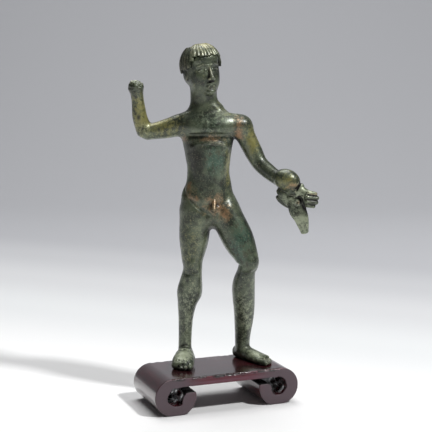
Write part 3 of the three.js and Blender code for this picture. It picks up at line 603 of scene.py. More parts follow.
def headForms():
    centre, turn = head["centre"], head["turn"]

    def at(x, y, z):
        return centre + turn @ vec(x, y, z)

    forms = [
        ball(at(0, 1.0, 1.4), (6.3, 6.8, 6.6), 1, turn),
        ball(at(0, 2.4, -1.4), (6.0, 5.6, 5.6), 1, turn),  # back of the head and nape
        ball(at(0, -1.4, -3.4), (5.4, 4.9, 6.2), 1.6, turn),  # face and jaw
        ball(at(0, -4.7, -8.2), (1.9, 1.5, 1.3), 1.3, turn),  # chin
        ball(at(0, -4.3, 3.2), (4.6, 2.1, 2.4), 1.2, turn),  # forehead
        bar(at(0, -5.9, 1.0), at(0, -7.1, -3.2), 0.5, 0.7, 0.5),  # nose, its tip and wings
        ball(at(0, -7.2, -3.5), (0.8, 0.8, 0.75), 0.4, turn),
        ball(at(-0.8, -6.6, -3.8), (0.55, 0.75, 0.5), 0.3, turn),
        ball(at(0.8, -6.6, -3.8), (0.55, 0.75, 0.5), 0.3, turn),
        ball(at(0, 0.9, 1.6), (6.35, 7.0, 7.35), 0.5, turn),  # the cap of hair, under its locks
    ]
    mouth = [
        (-1.75, -5.6, -5.95),
        (-0.8, -6.35, -5.8),
        (0, -6.5, -5.85),
        (0.8, -6.35, -5.8),
        (1.75, -5.6, -5.95),
    ]
    strokes = [
        stroke([at(x * 0.85, y - 0.1, z + 0.5) for x, y, z in mouth], 0.4, 0.34),  # lips
        stroke([at(x * 0.75, y - 0.1, z - 0.6) for x, y, z in mouth], 0.48, 0.34),
        stroke([at(*spot) for spot in mouth], 0.24, -0.4),
        stroke([at(-0.8, -6.0, -7.25), at(0.8, -6.0, -7.25)], 0.5, -0.2),
    ]
    for s in (-1, 1):
        forms.append(ball(at(s * 2.55, -4.75, -0.45), (1.3, 1.0, 0.85), 0.2, turn))  # eyes
        forms.append(ball(at(s * 6.0, 1.4, -1.3), (0.75, 1.4, 2.1), 0.3, turn))  # ears
        brow = [at(s * 0.8, -6.4, 0.9), at(s * 2.3, -6.4, 1.5), at(s * 4.3, -5.0, 1.0)]
        strokes.append(stroke(brow, 0.5, 0.35))
        strokes.append(stroke([at(s * 1.5, -6.2, -0.2), at(s * 3.6, -5.4, -0.4)], 1.15, -0.5))
        lid = [(1.35, -5.7, -0.5), (2.1, -5.9, 0.1), (3.0, -5.6, 0.1), (3.8, -4.9, -0.5)]
        upperLid = [at(s * x, y, z) for x, y, z in lid]
        lowerLid = [at(s * 1.4, -5.6, -0.6), at(s * 2.5, -5.7, -1.15), at(s * 3.7, -4.9, -0.6)]
        strokes.append(stroke(upperLid, 0.26, 0.3))
        strokes.append(stroke(lowerLid, 0.24, 0.22))
        strokes.append(stroke([at(s * 0.45, -6.9, -4.3), at(s * 0.55, -6.5, -4.3)], 0.25, -0.3))  # nostrils
        strokes.append(stroke([at(s * 3.4, -5.0, -2.2), at(s * 4.4, -3.8, -1.8)], 1.4, 0.2))  # cheekbones
        strokes.append(stroke([at(s * 6.8, 1.2, -0.4), at(s * 6.8, 1.6, -2.0)], 0.5, -0.4))
    return group(forms, strokes, 1.1)


def bodyStrokes(rightFootAt):
    def collar(forward, top):
        arc = []
        for left, up in ((-3.6, 3.4), (-2.8, 1.6), (-1.5, 0.35), (0, 0), (1.5, 0.35), (2.8, 1.6), (3.6, 3.4)):
            arc.append(rightFootAt(forward - 0.012 * up, left, top - up))
        return arc

    ledge = [
        (-8.0, 1.0, 79.9),
        (-6.6, -0.3, 81.2),
        (-2.0, -0.9, 81.7),
        (2.6, -0.4, 81.3),
        (4.4, 1.0, 80.0),
    ]
    return [
        stroke([(-1.8, -1.5, 92.5), (-1.9, -2.0, 86)], 1.0, -0.3),  # between the breasts
        stroke([(-8.8, 1.0, 83.9), (-1.9, -1.6, 84.1), (4.8, 0.6, 83.9)], 0.8, -0.9),  # under the chest plate
        stroke(ledge, 0.8, 0.5),  # the ledge at the top of the belly
        stroke([(-1.7, -0.8, 78), (-1.6, -0.6, 74.5)], 0.9, -0.2),  # down the belly
        stroke([(-1.6, -0.6, 71.4), (-1.4, -0.4, 67)], 1.2, -0.15),
        stroke([(-1.9, -0.8, 73.2), (-1.9, -0.8, 72.6)], 0.7, -0.5),  # navel
        stroke([(-11.5, 3.5, 64.5), (-7.5, -0.3, 59.5), (-2.6, -1.0, 55.5)], 0.9, -0.55),  # groins
        stroke([(6.6, 3.2, 64.5), (3.6, -0.1, 59.5), (1.2, -1.0, 55.5)], 0.9, -0.55),
        stroke([(-2.4, 10.6, 90), (-2.3, 10.4, 74), (-2.2, 11.6, 63)], 1.1, -0.7),  # spine
        stroke([(-2.2, 13.4, 61), (-2.2, 14.0, 50)], 1.0, -1.1),  # between the buttocks
        stroke([(-8.3, 0.4, 37.6), (-8.4, 0.4, 35.8)], 1.5, 0.45),  # right kneecap, and the line below it
        stroke([(-10.4, 1.2, 33.6), (-6.4, 1.2, 33.6)], 0.7, -0.3),
        stroke([(13.2, -0.4, 38.2), (13.6, -0.2, 36.8)], 1.7, 0.7),  # left kneecap, and the line below it
        stroke([(10.2, 0.2, 34.0), (14.2, 0.2, 34.6)], 0.8, -0.35),
        stroke([(-9.0, 1.8, 31), (-10.9, 3.6, 12)], 1.0, 0.25),  # shins
        stroke([(11.4, 2.2, 31), (10.9, 7.4, 12)], 1.0, 0.25),
        stroke([(-5.0, 8.8, 29), (-5.8, 8.6, 25)], 2.2, 0.6),  # inner heads of the calves
        stroke([(7.2, 9.8, 30), (7.4, 11.2, 24)], 2.2, 0.6),
        stroke([(-1.4, 2.6, 94.2), (4.0, 2.4, 92.2), (7.4, 3.2, 91.0)], 0.8, 0.3),  # collarbones
        stroke([(-4.8, 2.6, 94.2), (-9.0, 2.4, 92.0), (-11.6, 3.2, 91.0)], 0.8, 0.3),
        stroke(collar(0.42, 5.4), 0.45, 0.55),  # the rim over the right instep, and the groove below it
        stroke(collar(0.47, 5.2), 0.32, -0.55),
    ]


sculpting = {
    "cell": 0.2,  # spacing of the fine grid
    "low": vec(-34, -13, -2.5),
    "high": vec(38, 18, 118.5),
    "triangles": 190000,
}


# The rough end of the broken right arm: eaten away, with a slanting top
def corroded(p, d):
    near = 1 - smoothstep(2.2, 4.2, np.linalg.norm(p - vec(-28.5, 3.2, 102.4), axis=1))
    if not near.any():
        return d
    eaten = 0.75 * (noise(p, 0.9) - 0.4) + 0.5 * (noise(p, 0.45) - 0.5)
    top = (p - vec(-28.5, 3.2, 103.5)) @ vec(0.2, -0.3, 0.93)
    return np.where(near > 0, np.maximum(d + near * eaten, top + 0.5 * eaten), d)


def makeFigure():
    rightForms, rightStrokes, rightFootAt = foot(feet["right"])
    leftForms, leftStrokes, leftFootAt = foot(feet["left"])
    fist, fistStrokes = fistForms()
    pelt, peltStrokes = peltForms()
    neck = [(-3.4, 6.0, 91, 6.6, 4.0), (-4.1, 5.6, 95.5, 5.0, 4.4), (-4.3, 5.0, 101, 4.8, 4.6)]
    forms = [
        *trunkForms(),
        *legForms(),
        *armForms(),
        limb(neck, 2.8),
        headForms(),
        *pelt,
        *fist,
        *rightForms,
        *leftForms,
        ball((-1.7, 0.6, 57.2), (1.3, 1.5, 1.6), 0.8),
        ball((0.3, 0.6, 57.1), (1.3, 1.5, 1.5), 0.8),
        bar((-0.5, 0.0, 60.0), (-0.6, -1.5, 57.6), 0.9, 0.7, 0.8),
    ]
    strokes = bodyStrokes(rightFootAt) + rightStrokes + leftStrokes + fistStrokes + peltStrokes

    def field(p, box):
        d = corroded(p, sculpt(forms, strokes, p, box))
        d = d + 0.07 * (noise(p, 1.9) - 0.5)
        return np.maximum(d, -p[:, 2])  # the soles are flat

    low, high, cell = sculpting["low"], sculpting["high"], sculpting["cell"]
    values = fillGrid(field, low, high, cell)
    print("figure field filled", values.shape)
    vertices, quads = skin(values, low, cell)
    print("figure skin", len(vertices), len(quads))
    piece = thinOut(newObject("bronze_figure", vertices, quads), sculpting["triangles"])
    points, normals = pointsOf(piece.data), normalsOf(piece.data)
    setAttribute(piece.data, "hollow", shutIn(values, low, cell, points, normals, (0.6, 1.2, 2.4, 4.0)))
    setAttribute(piece.data, "raised", shutIn(-values, low, cell, points, -normals, (0.6, 1.2)))
    paintZones(piece.data, points)
    piece.data.materials.append(bronze)
    setPoints(piece.data, placeFigure(points))
    piece.data.shade_smooth()
    print("figure thinned", len(piece.data.polygons))
    return piece


# Colours are sRGB hex values, turned to linear here
def linear(code):
    channels = [int(code[i : i + 2], 16) / 255 for i in (0, 2, 4)]
    return [c / 12.92 if c <= 0.04045 else ((c + 0.055) / 1.055) ** 2.4 for c in channels] + [1]


# Adds a node with its settings; inputs are values, or the sockets that they are linked to
def addNode(tree, kind, inputs=None, **settings):
    node = tree.nodes.new(kind)
    for name, value in settings.items():
        setattr(node, name, value)
    for key, value in (inputs or {}).items():
        if isinstance(value, bpy.types.NodeSocket):
            tree.links.new(value, node.inputs[key])
        else:
            node.inputs[key].default_value = value
    return node


def newMaterial(name):
    material = bpy.data.materials.new(name)
    material.use_nodes = True
    tree = material.node_tree
    tree.nodes.clear()
    shader = addNode(tree, "ShaderNodeBsdfPrincipled")
    addNode(tree, "ShaderNodeOutputMaterial", {"Surface": shader.outputs[0]})
    return material, tree, shader


# A colour mix that follows a mask from 0 to 1
def overlay(tree, mask, below, above, mode="MIX"):
    node = addNode(tree, "ShaderNodeMix", data_type="RGBA", blend_type=mode)
    for socket, value in ((node.inputs[0], mask), (node.inputs[6], below), (node.inputs[7], above)):
        if isinstance(value, bpy.types.NodeSocket):
            tree.links.new(value, socket)
        else:
            socket.default_value = value
    return node.outputs[2]


# Lays a mask out between two limits, as a soft step
def stepped(tree, value, low, high):
    node = addNode(tree, "ShaderNodeMapRange", {0: value, 1: low, 2: high}, interpolation_type="SMOOTHSTEP")
    return node.outputs[0]


patina = {
    "darkGreen": "2d352a",
    "greyGreen": "626b55",
    "teal": "365a4c",
    "olive": "8c874e",
    "copper": "937150",
    "pale": "a3ab90",
    "dark": "1b1c16",
    "worn": "b9b79a",
    "brown": "2e2418",
    "black": "0c0b08",
    "patchSize": 5.0,  # mm
    "mottleSize": 1.5,
    "speckSize": 0.5,
    "grainSize": 0.25,
}


# Cast bronze, patinated and waxed: a mottled mineral skin over brown metal, darker where it is shut in, with
# painted shade, painted highlights and painted glints in its colour
def patinatedBronze():
    material, tree, shader = newMaterial("patinated_bronze")
    where = addNode(tree, "ShaderNodeTexCoord").outputs["Object"]
    colour = {name: linear(patina[name]) for name in patina if isinstance(patina[name], str)}

    def cloud(size, detail, spread):
        settings = {"Vector": where, "Scale": 1 / (size * mm), "Detail": detail, "Roughness": 0.6}
        value = addNode(tree, "ShaderNodeTexNoise", settings).outputs["Fac"]
        return stepped(tree, value, 0.5 - spread, 0.5 + spread)

    def painted(name):
        return addNode(tree, "ShaderNodeAttribute", attribute_name=name).outputs["Fac"]

    def maths(operation, *values):
        return addNode(tree, "ShaderNodeMath", dict(enumerate(values)), operation=operation).outputs[0]

    patch = cloud(patina["patchSize"], 3, 0.2)
    mottle = cloud(patina["mottleSize"], 5, 0.2)
    speck = cloud(patina["speckSize"], 4, 0.17)
    rough = maths("MULTIPLY_ADD", speck, 0.35, maths("MULTIPLY_ADD", mottle, 0.6, -0.475))

    def zone(name, low=0.15, high=0.9, strength=0.9):
        # a painted zone whose border is broken up by the mottling
        value = maths("MULTIPLY_ADD", rough, 0.8, painted(name))
        return maths("MULTIPLY", stepped(tree, value, low, high), strength)

    base = overlay(tree, maths("MULTIPLY_ADD", rough, 0.5, patch), colour["darkGreen"], colour["greyGreen"])
    base = overlay(tree, zone("teal"), base, colour["teal"])
    base = overlay(tree, zone("olive"), base, colour["olive"])
    # the pale zone: pale patina on the feet, paw and pelt, and painted highlights on the chest, the right
    # elbow, the fist's knuckles and the shins' lit edges
    base = overlay(tree, zone("pale"), base, colour["pale"])
    base = overlay(tree, zone("copper"), base, colour["copper"])
    # the dark zone: partly dark patina, partly painted shade on the side away from the key lamp, under the
    # chin and the arms
    base = overlay(tree, zone("dark"), base, colour["dark"])
    pits = maths("MULTIPLY", stepped(tree, maths("SUBTRACT", 1.0, mottle), 0.7, 1.0), 0.4)
    base = overlay(tree, pits, base, colour["brown"])
    # painted glints: pale specks of the worn tone laid into the colour as sparkles of light
    glints = maths("MULTIPLY", stepped(tree, speck, 0.75, 1.0), 0.16)
    base = overlay(tree, glints, base, colour["worn"])
    proud = maths("MULTIPLY_ADD", rough, 0.4, painted("raised"))
    worn = maths("MULTIPLY", stepped(tree, proud, 0.25, 0.75), 0.5)
    base = overlay(tree, worn, base, colour["worn"])
    shut = stepped(tree, painted("hollow"), 0.12, 0.45)
    base = overlay(tree, shut, base, colour["black"])
    tree.links.new(base, shader.inputs["Base Color"])

    polish = maths("MULTIPLY_ADD", shut, 0.35, maths("MULTIPLY_ADD", mottle, -0.12, 0.42))
    tree.links.new(polish, shader.inputs["Roughness"])
    shader.inputs["Metallic"].default_value = 0.35
    shader.inputs["Coat Weight"].default_value = 0.4
    shader.inputs["Coat Roughness"].default_value = 0.24
    grain = {"Vector": where, "Scale": 1 / (patina["grainSize"] * mm), "Detail": 4}
    grainNoise = addNode(tree, "ShaderNodeTexNoise", grain).outputs["Fac"]
    height = maths("MULTIPLY_ADD", speck, 0.8, maths("MULTIPLY_ADD", mottle, 0.6, grainNoise))
    bump = {"Height": height, "Strength": 0.35, "Distance": 0.07 * mm}
    tree.links.new(addNode(tree, "ShaderNodeBump", bump).outputs[0], shader.inputs["Normal"])
    return material


bronze = patinatedBronze()

# Where each colour of patina lies, with painted shade in the dark zone and painted highlights in the pale
# one: place, half sizes in mm, and how strong it is
patinaZones = {
    "copper": [
        ((-1.0, -1.5, 83.0), (7.5, 3, 1.5), 0.7),
        ((8.2, 2.0, 88.0), (2.0, 3.5, 3.6), 0.6),
        ((8.6, 2.0, 84.0), (1.6, 3, 2.4), 0.6),
        ((-11.5, 3.0, 82.5), (3, 3, 1.6), 0.5),
        ((0.5, -1.0, 59.0), (4.8, 3, 4.0), 0.8),
        ((-8.0, 0, 61.5), (3, 3, 1.6), 0.5),
        ((-10.0, 1.5, 65.5), (2.4, 3, 2.6), 0.6),
        ((3.5, -0.5, 55), (2.2, 3, 3.0), 0.5),
        ((27.0, -6.0, 66.6), (2.4, 2, 1.6), 0.6),
        ((29.2, -6.0, 60.6), (0.8, 1, 0.8), 1.0),
        ((34.5, -7.0, 63.6), (2.0, 2, 0.9), 0.5),
    ],
    "olive": [
        ((-18.0, 5.5, 87.5), (9, 6, 4), 0.7),
        ((-27.0, 4.5, 93.0), (4, 6, 8), 0.75),
        ((13.2, 3.0, 82.0), (2.6, 6, 5.5), 0.9),
        ((25.5, -5.0, 68.0), (4, 4, 3), 0.7),
        ((3.5, 2.0, 96.0), (3, 4, 5), 0.6),
        ((4.8, 2.0, 72.0), (1.4, 4, 8), 0.7),
        ((-4.8, 4.2, 117.0), (8, 8, 2.6), 0.9),
        ((-9.5, 2.0, 45.0), (5, 6, 12), 0.25),
    ],
    # pale: pale patina on the feet, the paw and the pelt; painted highlights on the chest, the inside of the
    # right elbow, the fist's knuckles and down the shins
    "pale": [
        ((-11.8, -2.0, 4.6), (4.6, 6, 3.2), 0.9),
        ((15.5, 4.0, 3.6), (6, 6, 2.4), 0.7),
        ((30.5, -4.6, 54.0), (4, 4, 6), 0.85),
        ((26.8, -3.8, 61.6), (3.6, 2.6, 2.4), 0.7),
        ((30.0, -5.0, 65.6), (1.6, 2, 2.2), 1.0),
        ((33.6, -6.8, 64.0), (2.4, 2, 1.4), 0.9),
        ((-25.5, 3.5, 86.5), (2.4, 3, 2), 0.5),
        ((-1.9, -1.5, 90.0), (7, 4, 4), 0.35),
        ((-29.2, 2.5, 104.0), (2.0, 2.5, 1.0), 0.8),
        ((-10.0, 4.0, 20.0), (4, 6, 14), 0.35),
        ((10.5, 6.0, 18.0), (4, 6, 14), 0.4),
    ],
    "teal": [
        ((0.0, -1.0, 75.0), (5, 6, 6), 0.7),
        ((-1.0, -1.0, 89.0), (9, 7, 4), 0.4),
        ((9.0, 2.0, 45.0), (5, 7, 10), 0.7),
    ],
    # dark: partly dark patina (the heel, the stump, a spot on the right forearm), partly painted shade on the
    # shaded side of the belly, neck, shoulder, hip and head, under and inside the arms, between the thighs,
    # under the pelt and by the right toes
    "dark": [
        ((-6.8, 0.0, 75.0), (3.2, 5, 7), 0.95),
        ((-9.5, 3.0, 79.0), (2.4, 4, 4), 0.6),
        ((-7.5, 2.0, 96.0), (3.6, 5, 3.6), 0.7),
        ((-10.0, 1.0, 88.0), (3.0, 4, 3.0), 0.4),
        ((18.0, 2.4, 72.0), (3.0, 4, 2.6), 0.7),
        ((11.2, 3.5, 78.0), (1.6, 4, 4.0), 0.6),
        ((-11.0, 2.0, 60.0), (2.2, 4, 5), 0.5),
        ((-2.0, 0.0, 66.0), (4, 4, 3), 0.3),
        ((-0.8, 0.0, 51.0), (3, 4, 4), 0.6),
        ((8.0, 12.5, 1.8), (2.6, 4, 2.6), 1.0),
        ((-15.4, -4.0, 1.6), (1.2, 4, 2.2), 0.8),
        ((-12.0, -8.0, 0.5), (4.5, 2, 1.0), 0.9),
        ((-28.5, 2.5, 100.8), (3.2, 3.5, 2.2), 0.8),
        ((-27.6, 2.6, 90.5), (0.7, 1.5, 1.2), 1.0),
        ((-11.6, 4.0, 107.5), (3.4, 9, 5.5), 1.0),
        ((1.8, 4.0, 107.5), (2.4, 9, 4.0), 0.7),
        ((-4.8, 12.0, 107.0), (9, 5, 6), 0.8),
        ((25.0, -1.5, 60.4), (3.0, 2.0, 1.3), 0.6),
        ((34.6, -7.2, 61.0), (1.6, 1.5, 1.6), 0.6),
    ],
}


def paintZones(mesh, points):
    for name, spots in patinaZones.items():
        total = np.zeros(len(points))
        for place, size, strength in spots:
            total += strength * np.exp(-(((points - vec(*place)) / vec(*size)) ** 2).sum(1))
        setAttribute(mesh, name, np.minimum(total, 1))


figurePiece = makeFigure()
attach(figurePiece, "root")
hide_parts("figure")

# The hair: locks combed out from the crown, each a rounded ridge with a blunt tip
hair = {
    "locks": 34,
    "crown": vec(0, 0.9, 1.6),  # the middle of the cap, in the head's own axes
    "radii": vec(6.3, 6.95, 7.2),
    "lift": 0.55,  # how far a lock's middle line stands out at the hem
    "width": 0.55,  # half a lock's width at the hem
    "wander": 0.06,
    "start": 0.36,  # share of the way down at which a lock leaves the smooth top
    "fringe": 69,  # degrees from the crown down to the hem: over the brow, before the ears and at the nape
    "temple": 98,
    "nape": 112,
    "templeFrom": 46,  # degrees round from the face's middle: the fringe turns down between these two
    "templeTo": 66,
    "steps": 14,
    "seed": 11,
}


def hairRoots():
    # one point for each lock, which carries its heading and how far down its hem lies
    heading = np.arange(hair["locks"]) / hair["locks"] * 2 * math.pi
    side = np.degrees(np.arccos(np.cos(heading)))
    down = smoothstep(hair["templeFrom"], hair["templeTo"], side)
    back = smoothstep(hair["templeTo"], 180, side)
    fringe, temple, nape = hair["fringe"], hair["temple"], hair["nape"]
    fall = np.radians(fringe + (temple - fringe) * down + (nape - temple) * back)
    mesh = bpy.data.meshes.new("hair_locks")
    mesh.vertices.add(len(heading))
    setAttribute(mesh, "heading", heading)
    setAttribute(mesh, "fall", fall)
    setAttribute(mesh, "puff", 1 - 0.65 * down)  # the fringe stands out most
    piece = bpy.data.objects.new("hair_locks", mesh)
    bpy.context.collection.objects.link(piece)
    return piece


def hairTree():
    tree = bpy.data.node_groups.new("hair_locks", "GeometryNodeTree")
    sockets = {}
    for name, kind in (
        ("Geometry", "NodeSocketGeometry"),
        ("Crown", "NodeSocketVector"),
        ("Radii", "NodeSocketVector"),
        ("Lift", "NodeSocketFloat"),
        ("Lock Width", "NodeSocketFloat"),
        ("Wander", "NodeSocketFloat"),
        ("Start", "NodeSocketFloat"),
        ("Steps", "NodeSocketInt"),
        ("Seed", "NodeSocketInt"),
    ):
        sockets[name] = tree.interface.new_socket(name, in_out="INPUT", socket_type=kind).identifier
    tree.interface.new_socket("Geometry", in_out="OUTPUT", socket_type="NodeSocketGeometry")
    given = addNode(tree, "NodeGroupInput").outputs

    def carried(name):
        return addNode(tree, "GeometryNodeInputNamedAttribute", {"Name": name}, data_type="FLOAT").outputs[0]

    def maths(operation, *values):
        inputs = dict(enumerate(values))
        return addNode(tree, "ShaderNodeMath", inputs, operation=operation).outputs[0]

    def randomFor(offset):
        seed = maths("ADD", given["Seed"], offset)
        inputs = {2: -1.0, 3: 1.0, "Seed": seed}
        return addNode(tree, "FunctionNodeRandomValue", inputs, data_type="FLOAT").outputs[1]

    roots = given["Geometry"]
    for offset, name in enumerate(("sway", "reach", "girth")):
        inputs = {"Geometry": roots, "Name": name, "Value": randomFor(offset)}
        roots = addNode(tree, "GeometryNodeStoreNamedAttribute", inputs, data_type="FLOAT").outputs[0]
    line = addNode(tree, "GeometryNodeCurvePrimitiveLine").outputs[0]
    line = addNode(tree, "GeometryNodeResampleCurve", {"Curve": line, "Count": given["Steps"]}).outputs[0]
    locks = addNode(tree, "GeometryNodeInstanceOnPoints", {"Points": roots, "Instance": line}).outputs[0]
    locks = addNode(tree, "GeometryNodeRealizeInstances", {"Geometry": locks}).outputs[0]

    # the way down a lock, from where it leaves the top to its tip
    share = addNode(tree, "GeometryNodeSplineParameter").outputs["Factor"]
    way = maths("MULTIPLY_ADD", share, maths("SUBTRACT", 1.0, given["Start"]), given["Start"])
    shorter = maths("MULTIPLY_ADD", carried("reach"), 0.035, 0.99)
    fall = maths("MULTIPLY", maths("MULTIPLY", carried("fall"), shorter), way)
    sway = maths("MULTIPLY", maths("MULTIPLY", carried("sway"), given["Wander"]), way)
    heading = maths("ADD", carried("heading"), sway)
    turn = addNode(tree, "ShaderNodeCombineXYZ", {"X": fall, "Z": heading}).outputs[0]
    up = (0.0, 0.0, 1.0)
    rotate = {"Vector": up, "Rotation": turn}
    direction = addNode(tree, "ShaderNodeVectorRotate", rotate, rotation_type="EULER_XYZ").outputs[0]
    rise = maths("MULTIPLY", maths("SMOOTH_MIN", maths("MULTIPLY", share, 1.7), 1.0, 0.3), given["Lift"])
    rise = maths("MULTIPLY", rise, carried("puff"))
    radii = addNode(tree, "ShaderNodeVectorMath", {0: given["Radii"], 1: rise}, operation="ADD").outputs[0]
    spotInputs = {0: direction, 1: radii, 2: given["Crown"]}
    spot = addNode(tree, "ShaderNodeVectorMath", spotInputs, operation="MULTIPLY_ADD").outputs[0]
    locks = addNode(tree, "GeometryNodeSetPosition", {"Geometry": locks, "Position": spot}).outputs[0]

    girth = addNode(tree, "ShaderNodeFloatCurve", {"Value": share})
    curve = girth.mapping.curves[0]
    for spotOnCurve in ((0.25, 0.72), (0.6, 0.95), (0.85, 1.0), (0.95, 0.82)):
        curve.points.new(*spotOnCurve)
    curve.points[0].location = (0, 0.3)
    curve.points[-1].location = (1, 0.35)
    girth.mapping.update()
    width = maths("MULTIPLY", girth.outputs[0], given["Lock Width"])
    width = maths("MULTIPLY", width, maths("MULTIPLY_ADD", carried("girth"), 0.08, 1.0))
    locks = addNode(tree, "GeometryNodeSetCurveRadius", {"Curve": locks, "Radius": width}).outputs[0]
    round12 = addNode(tree, "GeometryNodeCurvePrimitiveCircle", {"Resolution": 12, "Radius": 1.0}).outputs[0]
    inputs = {"Curve": locks, "Profile Curve": round12, "Fill Caps": True}
    mesh = addNode(tree, "GeometryNodeCurveToMesh", inputs).outputs[0]
    mesh = addNode(tree, "GeometryNodeRealizeInstances", {"Geometry": mesh}).outputs[0]
    mesh = addNode(tree, "GeometryNodeSetMaterial", {"Geometry": mesh, "Material": bronze}).outputs[0]
    addNode(tree, "NodeGroupOutput", {"Geometry": mesh})
    return tree, sockets


def makeHair():
    piece = hairRoots()
    tree, sockets = hairTree()
    modifier = piece.modifiers.new("locks", "NODES")
    modifier.node_group = tree
    inputs = {
        "Crown": hair["crown"],
        "Radii": hair["radii"],
        "Lift": hair["lift"],
        "Lock Width": hair["width"],
        "Wander": hair["wander"],
        "Start": hair["start"],
        "Steps": hair["steps"],
        "Seed": hair["seed"],
    }
    for name, value in inputs.items():
        modifier[sockets[name]] = value.tolist() if isinstance(value, np.ndarray) else value
    settle(piece)
    points = pointsOf(piece.data)
    out = np.linalg.norm((points - hair["crown"]) / (hair["radii"] + hair["lift"]), axis=1)
    setAttribute(piece.data, "hollow", 0.45 * (1 - smoothstep(0.98, 1.05, out)))
    setAttribute(piece.data, "raised", 0.45 * smoothstep(1.05, 1.08, out))
    points = points @ head["turn"].T + head["centre"]
    paintZones(piece.data, points)
    setPoints(piece.data, placeFigure(points))
    piece.data.shade_smooth()
    print("hair made", len(piece.data.polygons))
    return piece


hairPiece = makeHair()
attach(hairPiece, "root")

# The stand: one board whose ends curl under into scrolls, with rough hollows and worn front edges
stand = {
    "length": 55.0,
    "depth": 25.6,
    "height": 13.2,
    "slab": 3.1,
    "eyeX": 19.7,  # centre of each scroll's hollow
    "eyeZ": 6.6,
    "eyeRadius": 3.25,
    "tongueX": 12.1,  # inner end of each scroll
    "tongueTop": 8.0,
    "footIn": 17.6,
    "nose": 0.5,  # how much the tongue's upper edges are eased
    "edge": 0.25,  # rounding of the front and back edges
    "gouge": 0.45,  # roughness of the hollows
    "chips": 60,
    "chipSeed": 5,
    "cell": 0.25,
    "triangles": 90000,
}


def arcPoints(x, z, radius, first, last, steps):
    a = np.linspace(first, last, steps + 1)
    return np.stack([x + radius * np.cos(a), z + radius * np.sin(a)], axis=1)


def curvePoints(a, b, c, d, steps):
    t = np.linspace(0, 1, steps + 1)[:, None]
    a, b, c, d = (np.array(x, dtype=float) for x in (a, b, c, d))
    return a * (1 - t) ** 3 + 3 * b * t * (1 - t) ** 2 + 3 * c * t**2 * (1 - t) + d * t**3


# Half of the outline, from the middle of the underside round the scroll to the top, then its mirror
def scrollOutline():
    s = stand
    curl, half, under, nose = s["height"] / 2, s["length"] / 2, s["height"] - s["slab"], s["nose"]
    inner, top, tongue = s["eyeX"] - s["eyeRadius"], s["tongueTop"], s["tongueX"]
    right = [
        [(0, under), (s["eyeX"] - 0.66 * s["eyeRadius"], under)],
        arcPoints(s["eyeX"], s["eyeZ"], s["eyeRadius"], math.pi * 0.56, -math.pi * 1.14, 24)[:-6],
        curvePoints((inner, top - nose), (inner, top), (inner, top), (inner - 2 * nose, top), 4),
        curvePoints((tongue + 2 * nose, top), (tongue, top), (tongue, top), (tongue, top - 4 * nose), 6),
        curvePoints((tongue, top - 4 * nose), (tongue + nose, 3), (s["footIn"] - 3, 0), (s["footIn"], 0), 14),
        arcPoints(half - curl, curl, curl, -math.pi / 2, math.pi / 2, 32),
    ]
    right = np.concatenate([np.array(run, dtype=float) for run in right])
    left = right[::-1] * [-1, 1]
    return np.concatenate([right, left])


